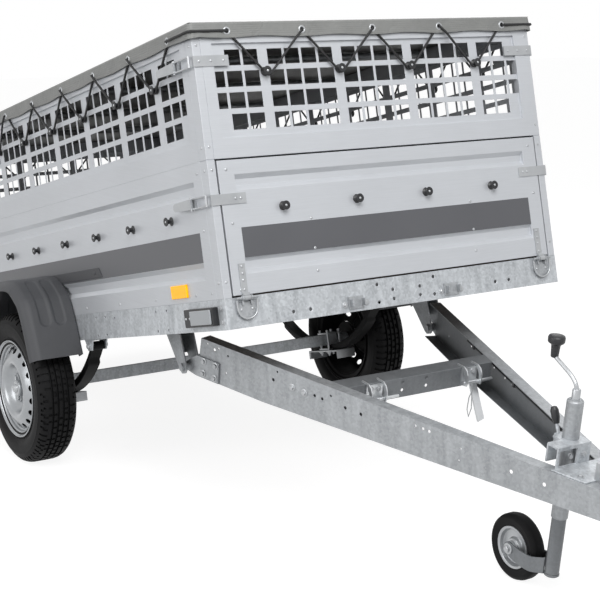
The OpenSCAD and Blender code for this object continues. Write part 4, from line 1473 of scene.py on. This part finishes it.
    def build_wheels(self) -> None:
        """Put on the tyres and rims, with their caps, valves and bolts."""
        tyre, rim = self.tyre(), self.rim()
        cap = lathe("cap", [(0, -4), (27, -4), (28, 0), (27.6, 2), (25, 3.4), (17, 3.4), (15.6, 8), (12, 12), (0, 13)],
                    28)
        cap_out, bolt_out = 57, 35
        for side, way in SIDES:
            name, out = way.name.lower(), Vector(way.value)
            body = f"wheel_{name}"
            centre = Vector((self.axle_x, side * (self.half_w + self.wheel_gap), -self.axle_drop))
            self.put(set_out(f"tyre_{name}_tread", tyre, [(centre, out)]), self.palette.rubber, f"tyre_{name}",
                     body=body)
            self.build_rim(rim, centre, way)
            self.put(set_out(f"wheel_hub_{name}", cap, [(centre + out * cap_out, out)]), self.palette.plated,
                     body=body, shade=35.0)
            foot, top = Vector((0, side * 30, 156)), Vector((0, side * 58, 149))
            valve = bar(f"wheel_valve_{name}", 4.5, centre + foot, centre + top, 10)
            inset(valve, lambda middle, normal: normal.y * side > 0.8, (1.2, 3.0))
            self.put(valve, self.palette.black, body=body, shade=35.0)
            angles = [math.radians(45 + 90 * i) for i in range(4)]
            bolts = [(centre + out * bolt_out + Vector((math.cos(a), 0, math.sin(a))) * self.bolt_circle_r, out)
                     for a in angles]
            self.fasten(f"wheel_bolts_{name}", Stud.HEX, 12.0, bolts, body)
        for pattern in (tyre, rim, cap):
            bpy.data.objects.remove(pattern)

    def build_springs(self) -> None:
        """Round the hangers, axle, clamps and springs, and give each spring a second leaf."""
        for node, width, finish in (
                ("spring_hangers", 1.2, self.palette.bright_zinc), ("axle_beam", 3.0, self.palette.bright_zinc),
                ("spring_clamps", 1.0, self.palette.plated)):
            self.fit(node, width, finish)
        there = self.place.matrix()
        back = there.inverted()

        def under(middle: Vector, normal: Vector) -> bool:
            """Say whether a face is on the leaf's underside, clear of the clamp and the eyes."""
            along = (back @ (middle * MM)).x / MM - self.axle_x
            return 45 < abs(along) < 325 and (back.to_3x3() @ normal).z < -0.4

        for node in ("leaf_spring_right", "leaf_spring_left"):
            leaf = softened(node, 1.0, self.place)
            with editing(leaf):
                pick(leaf, under)
                pull(there.to_3x3() @ Vector((0.0, 0.0, -13.0 * MM)))
            dress(smooth(leaf), self.palette.spring, self.body, node)

    def build_plates(self) -> None:
        """Hold a plate with turned-down ends under each spring, and set the nuts of plates and eyes."""
        x, y, low, eye = self.axle_x, self.half_w - self.spring_in, -201, 29.5
        plates, nuts = [], []
        for side, _ in SIDES:
            plate = block("plate", (x - 108, side * y - 46, low), (x + 108, side * y + 46, -195.4))
            inset(plate, lambda middle, normal: normal.z < -0.8, (5.0, 0.0))
            with editing(plate):
                pick(plate, lambda middle, normal: normal.z < -0.8 and abs(middle.x - x) > 100)
                pull((0.0, 0.0, -30.0 * MM))
            plates.append(rounded(plate, 1.2))
            nuts += [((x + dx, side * y + dy, low), (0, 0, -1)) for dx in (-28, 28) for dy in (-28.5, 28.5)]
            nuts += [((x + end, side * (y + way * eye), -24), (0, way * side, 0))
                     for end in (-365, 365) for way in (1, -1)]
        self.put(joined("spring_plates", plates), self.palette.plated)
        self.fasten("spring_nuts", Stud.HEX, 9.0, nuts)

    def guard_shell(self) -> Piece:
        """Model the left mudguard: a sheet bent over the wheel, rolled outwards and pressed with four channels.

        Returns:
            The shell with its tongue, in the bed's millimetres.
        """
        half = [(0, 248), (168, 248), (232, 200), (282, 150), (325, -48)]
        line = eased([Vector((-x, 0, z)) for x, z in reversed(half)] + [Vector((x, 0, z)) for x, z in half[1:]])
        roll, flange, wide = 36.0, 40.0, 195.0
        bend = [math.pi / 2 * i / 8 for i in range(9)]
        section = [(1.0, flange), (1.0, 5.0), (2.5, 1.5), (6.0, 0.0)]
        section += [(wide - roll + roll * math.sin(a), roll * (1 - math.cos(a))) for a in bend]
        runs = [0.0, *accumulate((b - a).length for a, b in zip(line, line[1:]))]
        steps = [0.0, *accumulate(math.hypot(c - a, d - b) for (a, b), (c, d) in zip(section, section[1:]))]
        whole, foot, crown, lane_half, deep, ramp = runs[-1], 138.0, 200.0, 20.0, 4.4, 3.6
        reach = whole / 2 - crown - foot
        channels = [(mid, lane) for mid in (foot + reach / 2, whole - foot - reach / 2) for lane in (60.0, 116.0)]

        def between(value: float, marks: list[float]) -> tuple[int, float]:
            """Find the stretch of a line that holds a length, and how far along it is."""
            i = next((k for k in range(1, len(marks) - 1) if marks[k] >= value), len(marks) - 1)
            return i - 1, (value - marks[i - 1]) / (marks[i] - marks[i - 1])

        def pressed(along: float, y: float) -> float:
            """Return how deep the channels are pressed at a place."""
            off = min(math.hypot(max(0.0, abs(along - mid) - reach / 2), y - lane) for mid, lane in channels)
            return deep * min(1.0, max(0.0, 0.5 - (off - lane_half) / ramp))

        deselect()
        bpy.ops.mesh.primitive_grid_add(x_subdivisions=300, y_subdivisions=84, size=2.0)
        shell = settled("shell")
        for vertex in shell.data.vertices:
            along = (vertex.co.x + 1) / 2 * whole
            i, share = between(along, runs)
            j, part = between((vertex.co.y + 1) / 2 * steps[-1], steps)
            run = (line[i + 1] - line[i]).normalized()
            inward = Vector((run.z, 0.0, -run.x))
            y, drop = [a + (b - a) * part for a, b in zip(section[j], section[j + 1])]
            spot = line[i].lerp(line[i + 1], share) + inward * (drop + pressed(along, y))
            vertex.co = (spot + Vector((self.axle_x, self.half_w + y, 0))) * MM
        with editing(shell):
            outwards()
        modify(shell, "SOLIDIFY", thickness=3.5 * MM, offset=-1.0)
        low, high, tip, taper = 212, 246, 575, 22
        tongue = block("tongue", (self.axle_x - tip, self.half_w, low), (self.axle_x + tip, self.half_w + 4, high))
        for vertex in tongue.data.vertices:
            if vertex.co.z > (low + high) / 2 * MM:
                vertex.co.x += math.copysign(taper * MM, self.axle_x * MM - vertex.co.x)
        return joined("mudguard_left_shell", [smooth(shell, 50.0), rounded(tongue, 1.5)])

    def build_guards(self) -> None:
        """Hang both mudguards and bolt their tongues."""
        left = self.guard_shell()
        right = copy_of(left, "mudguard_right_shell", Matrix.Scale(-1, 4, Axis.LEFT.value))
        self.put(left, self.palette.guard, "mudguard_left")
        self.put(right, self.palette.guard, "mudguard_right")
        along = (self.axle_x - 520, self.axle_x + 520)
        bolts = [spot for side, _ in SIDES for spot in flank(side, along, self.half_w + 4, [229])]
        self.fasten("guard_bolts", Stud.DOME, 6.0, bolts, finish=self.palette.guard)

    def build(self) -> None:
        """Build the running gear."""
        self.build_wheels()
        self.build_springs()
        self.build_plates()
        self.build_guards()


@dataclass
class Drawbar(Assembly):
    """The two arms with their hinge plates, crossbar, latches, nose plate, coupling and cable."""

    apex: float = 1662.0
    spread: float = 505.0
    top: float = 110.0
    latch_y: float = 187.0
    body = "drawbar"

    def arm_spot(self, side: int, ahead: float, up: float, out: float = 0.0) -> Spot:
        """Return a spot on the outer face of an arm, and that face's normal.

        Args:
            side: 1 for the left arm, -1 for the right one.
            ahead: its place ahead of the hinge.
            up: its height.
            out: how far it stands off the face.

        Returns:
            The spot and the normal.
        """
        slope = self.spread / self.apex
        normal = Vector((slope, side, 0.0)).normalized()
        return Vector((ahead, side * (self.apex - ahead) * slope, up)) + normal * out, normal

    def build_arms(self) -> None:
        """Drill and round the arms, and set their bolts."""
        drilled = ((68, 98, 3.0), (99, 86, 6.0), (116, 96, 3.5), (157, 83, 3.5), (152, 23, 3.5), (360, 94, 3.5),
                   (346, 63, 5.5), (509, 64, 5.0), (538, 63, 5.0), (569, 83, 4.0), (625, 63, 5.5), (683, 62, 5.5),
                   (874, 92, 3.5), (900, 92, 4.5), (921, 91, 5.0), (1029, 76, 2.5), (1027, 39, 2.5),
                   (1192, 66, 6.0), (1294, 66, 6.0))
        back = self.place.matrix().inverted()
        web, lip = 10, 95
        for side, way in SIDES:
            name = f"arm_{way.name.lower()}"
            holes = [(*self.arm_spot(side, ahead, up), radius) for ahead, up, radius in drilled]
            arm = softened(name, 2.0, self.place, holes)
            base, normal_out = self.arm_spot(side, 0, 0)

            def inside(middle: Vector, normal: Vector) -> bool:
                """Say whether a face is in the hollow of the channel.

                Args:
                    middle: the face's middle, in millimetres.
                    normal: its normal.

                Returns:
                    Whether it is.
                """
                spot, turned = back @ (middle * MM) / MM, back.to_3x3() @ normal
                deep = (base - spot).dot(normal_out)
                return (turned.dot(normal_out) < -0.5 and deep < web) or (turned.z > 0.5 and spot.z < lip and deep > 2)

            # The channel's hollow gets the darker zinc as painted shade, standing in for the shade inside the channel.
            hollow = parted(arm, f"{name}_hollow", inside)
            dress(arm, self.palette.zinc, self.body, name)
            dress(hollow, self.palette.dull_zinc_and_painted_shade, self.body)
        bolts = [self.arm_spot(side, ahead, up) for side, _ in SIDES for ahead, up in ((422, 63), (470, 61))]
        bolts += [self.arm_spot(side, ahead, up, 6.0) for side, _ in SIDES
                  for ahead, up in ((61, 36), (112, 36), (61, -6), (110, -8))]
        self.fasten("arm_bolts", Stud.HEX, 8.0, bolts)

    def build_shade_liner(self) -> None:
        """Lay a flat black liner inside the rear half of the right arm, behind its holes: painted shade that keeps the
        holes dark.
        """
        slope = math.atan(self.spread / self.apex)
        shade_liner = block("arm_shade_liner", (-1600, 4.2, 52), (-1010, 6.6, 104))
        inset(shade_liner, lambda middle, normal: normal.y > 0.8, (7.0, 5.0))
        rounded(shade_liner, 1.0).data.transform(
            Matrix.Translation(Vector((self.apex, 0, 0)) * MM) @ Matrix.Rotation(slope, 4, "Z"))
        self.put(shade_liner, self.palette.black)

    def build_fittings(self) -> None:
        """Round and dress the plates, crossbar, coupling and cable, and set their bolts."""
        for node, width, finish in (
                ("hinge_plates", 1.2, self.palette.zinc), ("nose_plate", 1.0, self.palette.bright_zinc),
                ("coupling_head", 2.5, self.palette.plated), ("coupling_lever", 2.0, self.palette.plated),
                ("drawbar_cable", 1.0, self.palette.black)):
            self.fit(node, width, finish)
        ahead = Axis.AHEAD.value
        holes = [((589, y, up), ahead, 5.0) for y, up in ((-76, 95), (-76, 69), (17, 97), (18, 70))]
        self.fit("crossbar", 2.0, self.palette.dull_zinc_and_painted_shade, holes=holes)
        bolts = both_sides(1375, [60], [self.top + 4], Axis.UP)
        bolts += [spot for side, _ in SIDES for spot in flank(side, (1430, 1520), 35, [self.top + 28])]
        bolts += [((1304, 12, 138), ahead), ((1279.6, -10.8, 128), (0.9, -0.45, 0.0))]
        bolts += [((594, side * self.latch_y + y, 92), ahead) for side, _ in SIDES for y in (-14, 14)]
        self.fasten("nose_bolts", Stud.HEX, 6.5, bolts)

    def build_latches(self) -> None:
        """Round the tip latches with their levers swung to the left, and hang a wire ring beside the left one."""
        swing, low, lever_top = 104.0, -81.0, 40

        def swung(spot: Vector) -> Vector:
            """Move the lower end of a lever."""
            return spot if spot.z > lever_top else Vector((spot.x, spot.y + swing, 2 * low - spot.z))

        self.fit("tip_latches", 1.2, self.palette.bright, reshape=swung)
        hang = [(0, 58), (3, 30), (-6, 10), (-9, -30), (0, -58), (9, -30), (5, 8)]
        ring = wire("latch_ring", 1.8, [Vector((612, self.latch_y + y, up)) for y, up in hang])
        self.put(ring, self.palette.plated)

    def build(self) -> None:
        """Build the drawbar."""
        self.build_arms()
        self.build_shade_liner()
        self.build_fittings()
        self.build_latches()


@dataclass
class JockeyWheel(Assembly):
    """Tube, crank, clamp, sliding leg, fork and wheel that hold the nose up."""

    body = "drawbar"

    def middle(self, node: str) -> Vector:
        """Return the middle of a node in the drawbar's millimetres."""
        low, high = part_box(node)
        return self.place.matrix().inverted() @ ((low + high) / 2) / MM

    def build_crank(self) -> None:
        """Bend the crank from one rod, with a collar on the tube's cap and a turned grip."""
        grip, axis = self.middle("crank_knob"), self.middle("jockey_tube").x
        foot = grip.z - 134
        line = eased([Vector((x, 0, foot + rise)) for x, rise in (
            (axis, 0), (axis, 54), (grip.x + 12, 91), (grip.x, 97), (grip.x, 112))])
        collar = lathe("collar", [(5, 0), (15, 0), (15, 4.5), (12, 6), (12, 33), (10, 36), (5, 36), (5, 0)], 16)
        collar.data.transform(Matrix.Translation(line[0] * MM))
        rod = wire("rod", 6.0, line, closed=False)
        self.put(joined("jockey_crank_rod", [rod, smooth(collar)]), self.palette.plated, "jockey_crank")
        knob = lathe("crank_knob_grip", [
            (0, -42), (9, -42), (11, -40), (12, -22), (13, -8), (16, -2), (22, 1), (24, 4), (24.5, 16), (22.5, 20.5),
            (15, 23), (0, 23.5)], 24)
        knob.data.transform(Matrix.Translation(grip * MM))
        self.put(knob, self.palette.black, "crank_knob", shade=50.0)

    def cheek(self, trail: float, rise: float) -> Piece:
        """Press one cheek of the fork: a round eye at the hub, a dipping arm and an end bent in to the leg.

        Args:
            trail: how far the hub is behind the leg.
            rise: how far the hub is above the leg's end.

        Returns:
            The left cheek, with the leg's end at the origin.
        """
        eye, end, wide, near, thick, round_share = 21.0, -12.0, 31.0, 18.2, 5.0, 0.3
        plate = block("cheek", (0, 0, 0), (1, 1, 1))
        with editing(plate):
            bpy.ops.mesh.select_all(action="SELECT")
            bpy.ops.mesh.subdivide(number_cuts=19)
        for vertex in plate.data.vertices:
            along, out, high = vertex.co / MM
            share = max(0.0, (along - round_share) / (1 - round_share))
            x, half = -trail + (trail + end) * share, eye + 4.0 * share
            if along < round_share:
                turn = math.pi / 2 * along / round_share
                x, half = -trail - eye * math.cos(turn), max(1.0, eye * math.sin(turn))
            bend = min(1.0, max(0.0, (x + 58) / 42))
            inner = wide + (near - wide) * bend * bend * (3 - 2 * bend)
            z = rise + 10 * share - 46 * share * (1 - share) + (2 * high - 1) * half
            vertex.co = Vector((x, inner + thick * out, z)) * MM
        return rounded(plate, 1.0)

    def build_fork(self) -> None:
        """Join two cheeks under the leg by a foot, and set the axle's nuts."""
        hub, leg, rise = self.middle("jockey_rim"), self.middle("jockey_leg"), 10.0
        left = self.cheek(leg.x - hub.x, rise)
        right = copy_of(left, "cheek", Matrix.Scale(-1, 4, Axis.LEFT.value))
        foot = lathe("foot", [(0, -8.3), (20, -8.3), (22.5, -6), (22.5, -1.5), (21.5, -0.4), (0, -0.4)], 28)
        fork = joined("jockey_fork_cheeks", [left, right, smooth(foot)])
        fork.data.transform(Matrix.Translation(Vector((leg.x, 0, hub.z - rise)) * MM))
        self.put(fork, self.palette.dull_zinc_and_painted_shade, "jockey_fork", body="jockey_fork")
        nuts = [spot for side, _ in SIDES for spot in flank(side, [hub.x], 36.0, [hub.z])]
        self.fasten("jockey_nuts", Stud.HEX, 11.0, nuts, "jockey_fork")

    def build_clamp(self) -> None:
        """Cut the window of the tube's bracket, and turn its edge out."""
        flat_y, fold = 36.0, 1.5
        bracket = softened("jockey_clamp", fold, self.place, windows=[((1290, -77, 114.5), (1312, -12, 162))],
                           reshape=lambda spot: Vector((spot.x, min(spot.y, flat_y), spot.z)))
        flange = block("flange", (1256, -84, 116), (1262, -46, 169))
        flange.data.transform(self.place.matrix())
        dress(joined("jockey_clamp_bracket", [bracket, rounded(flange, fold)]), self.palette.bright_zinc, self.body,
              "jockey_clamp")

    def build(self) -> None:
        """Round and dress every part."""
        for node, body, width, finish in (
                ("clamp_lever", "drawbar", 2.5, self.palette.black),
                ("jockey_leg", "jockey_leg", 1.0, self.palette.dull_zinc_and_painted_shade),
                ("jockey_tyre", "jockey_wheel", 2.5, self.palette.rubber),
                ("jockey_rim", "jockey_wheel", 1.5, self.palette.plated)):
            self.fit(node, width, finish, body)
        self.build_clamp()
        cap = self.middle("crank_knob").z - 128
        self.fit("jockey_tube", 1.5, self.palette.zinc,
                 reshape=lambda spot: Vector((spot.x, spot.y, min(spot.z, cap))))
        self.build_crank()
        self.build_fork()


@dataclass
class Studio:
    """White floor, soft lights and the camera."""

    bed: Place
    eye: Point = (3687.7, -2659.3, 137.9)
    right: Point = (0.5223, 0.8434, -0.1263)
    up: Point = (0.0509, 0.117, 0.9918)
    lens: float = 85.95
    aim: Point = (0.2, 0.0, 0.6)

    def build_camera(self) -> None:
        """Stand the camera where the photograph was taken."""
        camera = linked("camera", bpy.data.cameras.new("camera"))
        camera.data.lens = self.lens
        camera.data.sensor_width = 36.0
        side = Vector(self.right).normalized()
        away = side.cross(Vector(self.up)).normalized()
        turn = Matrix((side, away.cross(side), away)).transposed().to_4x4()
        turn.translation = Vector(self.eye) * MM
        camera.matrix_world = self.bed.matrix() @ turn
        bpy.context.scene.camera = camera

    def build_lights(self) -> None:
        """Hang soft lamps: a key ahead, a fill on the near side and a weak one behind."""
        for name, spot, size, power in (
                ("key", (4.3, -1.5, 4.9), 3.4, 282.0), ("fill", (0.3, -6.0, 2.4), 3.6, 126.0),
                ("back", (-4.5, 4.0, 4.0), 4.0, 90.0)):
            lamp = linked(name, bpy.data.lights.new(name, "AREA"))
            lamp.data.energy = power
            lamp.data.size = size
            lamp.location = spot
            lamp.rotation_euler = (Vector(self.aim) - Vector(spot)).to_track_quat("-Z", "Y").to_euler()

    def white_for_eye(self, tree: Tree) -> Socket:
        """Add nodes that say whether a ray comes from the eye, a gloss or a clear piece.

        Args:
            tree: the material's or world's tree.

        Returns:
            One for such a ray, and zero for others.
        """
        path, either = add_node(tree, "LightPath").outputs, {"operation": "ADD", "use_clamp": True}
        gloss = add_node(tree, "Math", either, {0: path["Is Camera Ray"], 1: path["Is Glossy Ray"]})
        return add_node(tree, "Math", either, {0: gloss.outputs[0], 1: path["Is Transmission Ray"]}).outputs[0]

    def build_world(self) -> None:
        """Make the world white to the eye and softer as a light."""
        world = bpy.data.worlds.new("white")
        bpy.context.scene.world = world
        world.use_nodes = True
        tree = world.node_tree
        back = tree.nodes["Background"]
        back.inputs["Color"].default_value = linear("#FFFFFF")
        strength = add_node(tree, "MapRange", {"To Min": 0.3, "To Max": 1.0}, {"Value": self.white_for_eye(tree)})
        tree.links.new(strength.outputs[0], back.inputs["Strength"])

    def build_floor(self) -> None:
        """Lay a white floor that keeps a soft shadow."""
        deselect()
        bpy.ops.mesh.primitive_plane_add(size=60.0)
        floor = settled("floor")
        paint = bpy.data.materials.new("white_floor")
        paint.use_nodes = True
        tree = paint.node_tree
        shader = tree.nodes["Principled BSDF"]
        bounce = add_node(tree, "Mix", {"data_type": "RGBA", 6: linear("#F2F2F2"), 7: linear("#7C7C7C")},
                          {0: add_node(tree, "LightPath").outputs["Is Diffuse Ray"]})
        tree.links.new(bounce.outputs[2], shader.inputs["Base Color"])
        shader.inputs["Roughness"].default_value = 0.9
        glow = add_node(tree, "Emission", {"Color": linear("#FFFFFF"), "Strength": 1.27})
        share = add_node(tree, "Math", {"operation": "MULTIPLY", 1: 0.7}, {0: self.white_for_eye(tree)})
        mix = add_node(tree, "MixShader", None, {0: share.outputs[0], 1: shader.outputs[0], 2: glow.outputs[0]})
        tree.links.new(mix.outputs[0], tree.nodes["Material Output"].inputs["Surface"])
        floor.data.materials.append(paint)

    def build(self) -> None:
        """Set up the studio."""
        self.build_camera()
        self.build_lights()
        self.build_world()
        self.build_floor()
        bpy.context.scene.view_settings.view_transform = "Standard"


def main() -> None:
    """Build the trailer's looks and the studio."""
    logging.basicConfig(level=logging.INFO, format="%(name)s: %(message)s")
    bed, length = bed_place()
    drawbar = drawbar_place()
    half_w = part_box("rail_left")[1].y / MM
    palette = Palette(bed.pitch)
    Studio(bed).build()
    box = LoadBox(bed, palette, length, half_w)
    for part in (box, Cover(bed, palette, box), Chassis(bed, palette, length, half_w),
                 RunningGear(bed, palette, length, half_w), Drawbar(drawbar, palette),
                 JockeyWheel(drawbar, palette)):
        part.build()
        LOG.info("built %s", type(part).__name__)


if __name__ == "__main__":
    main()
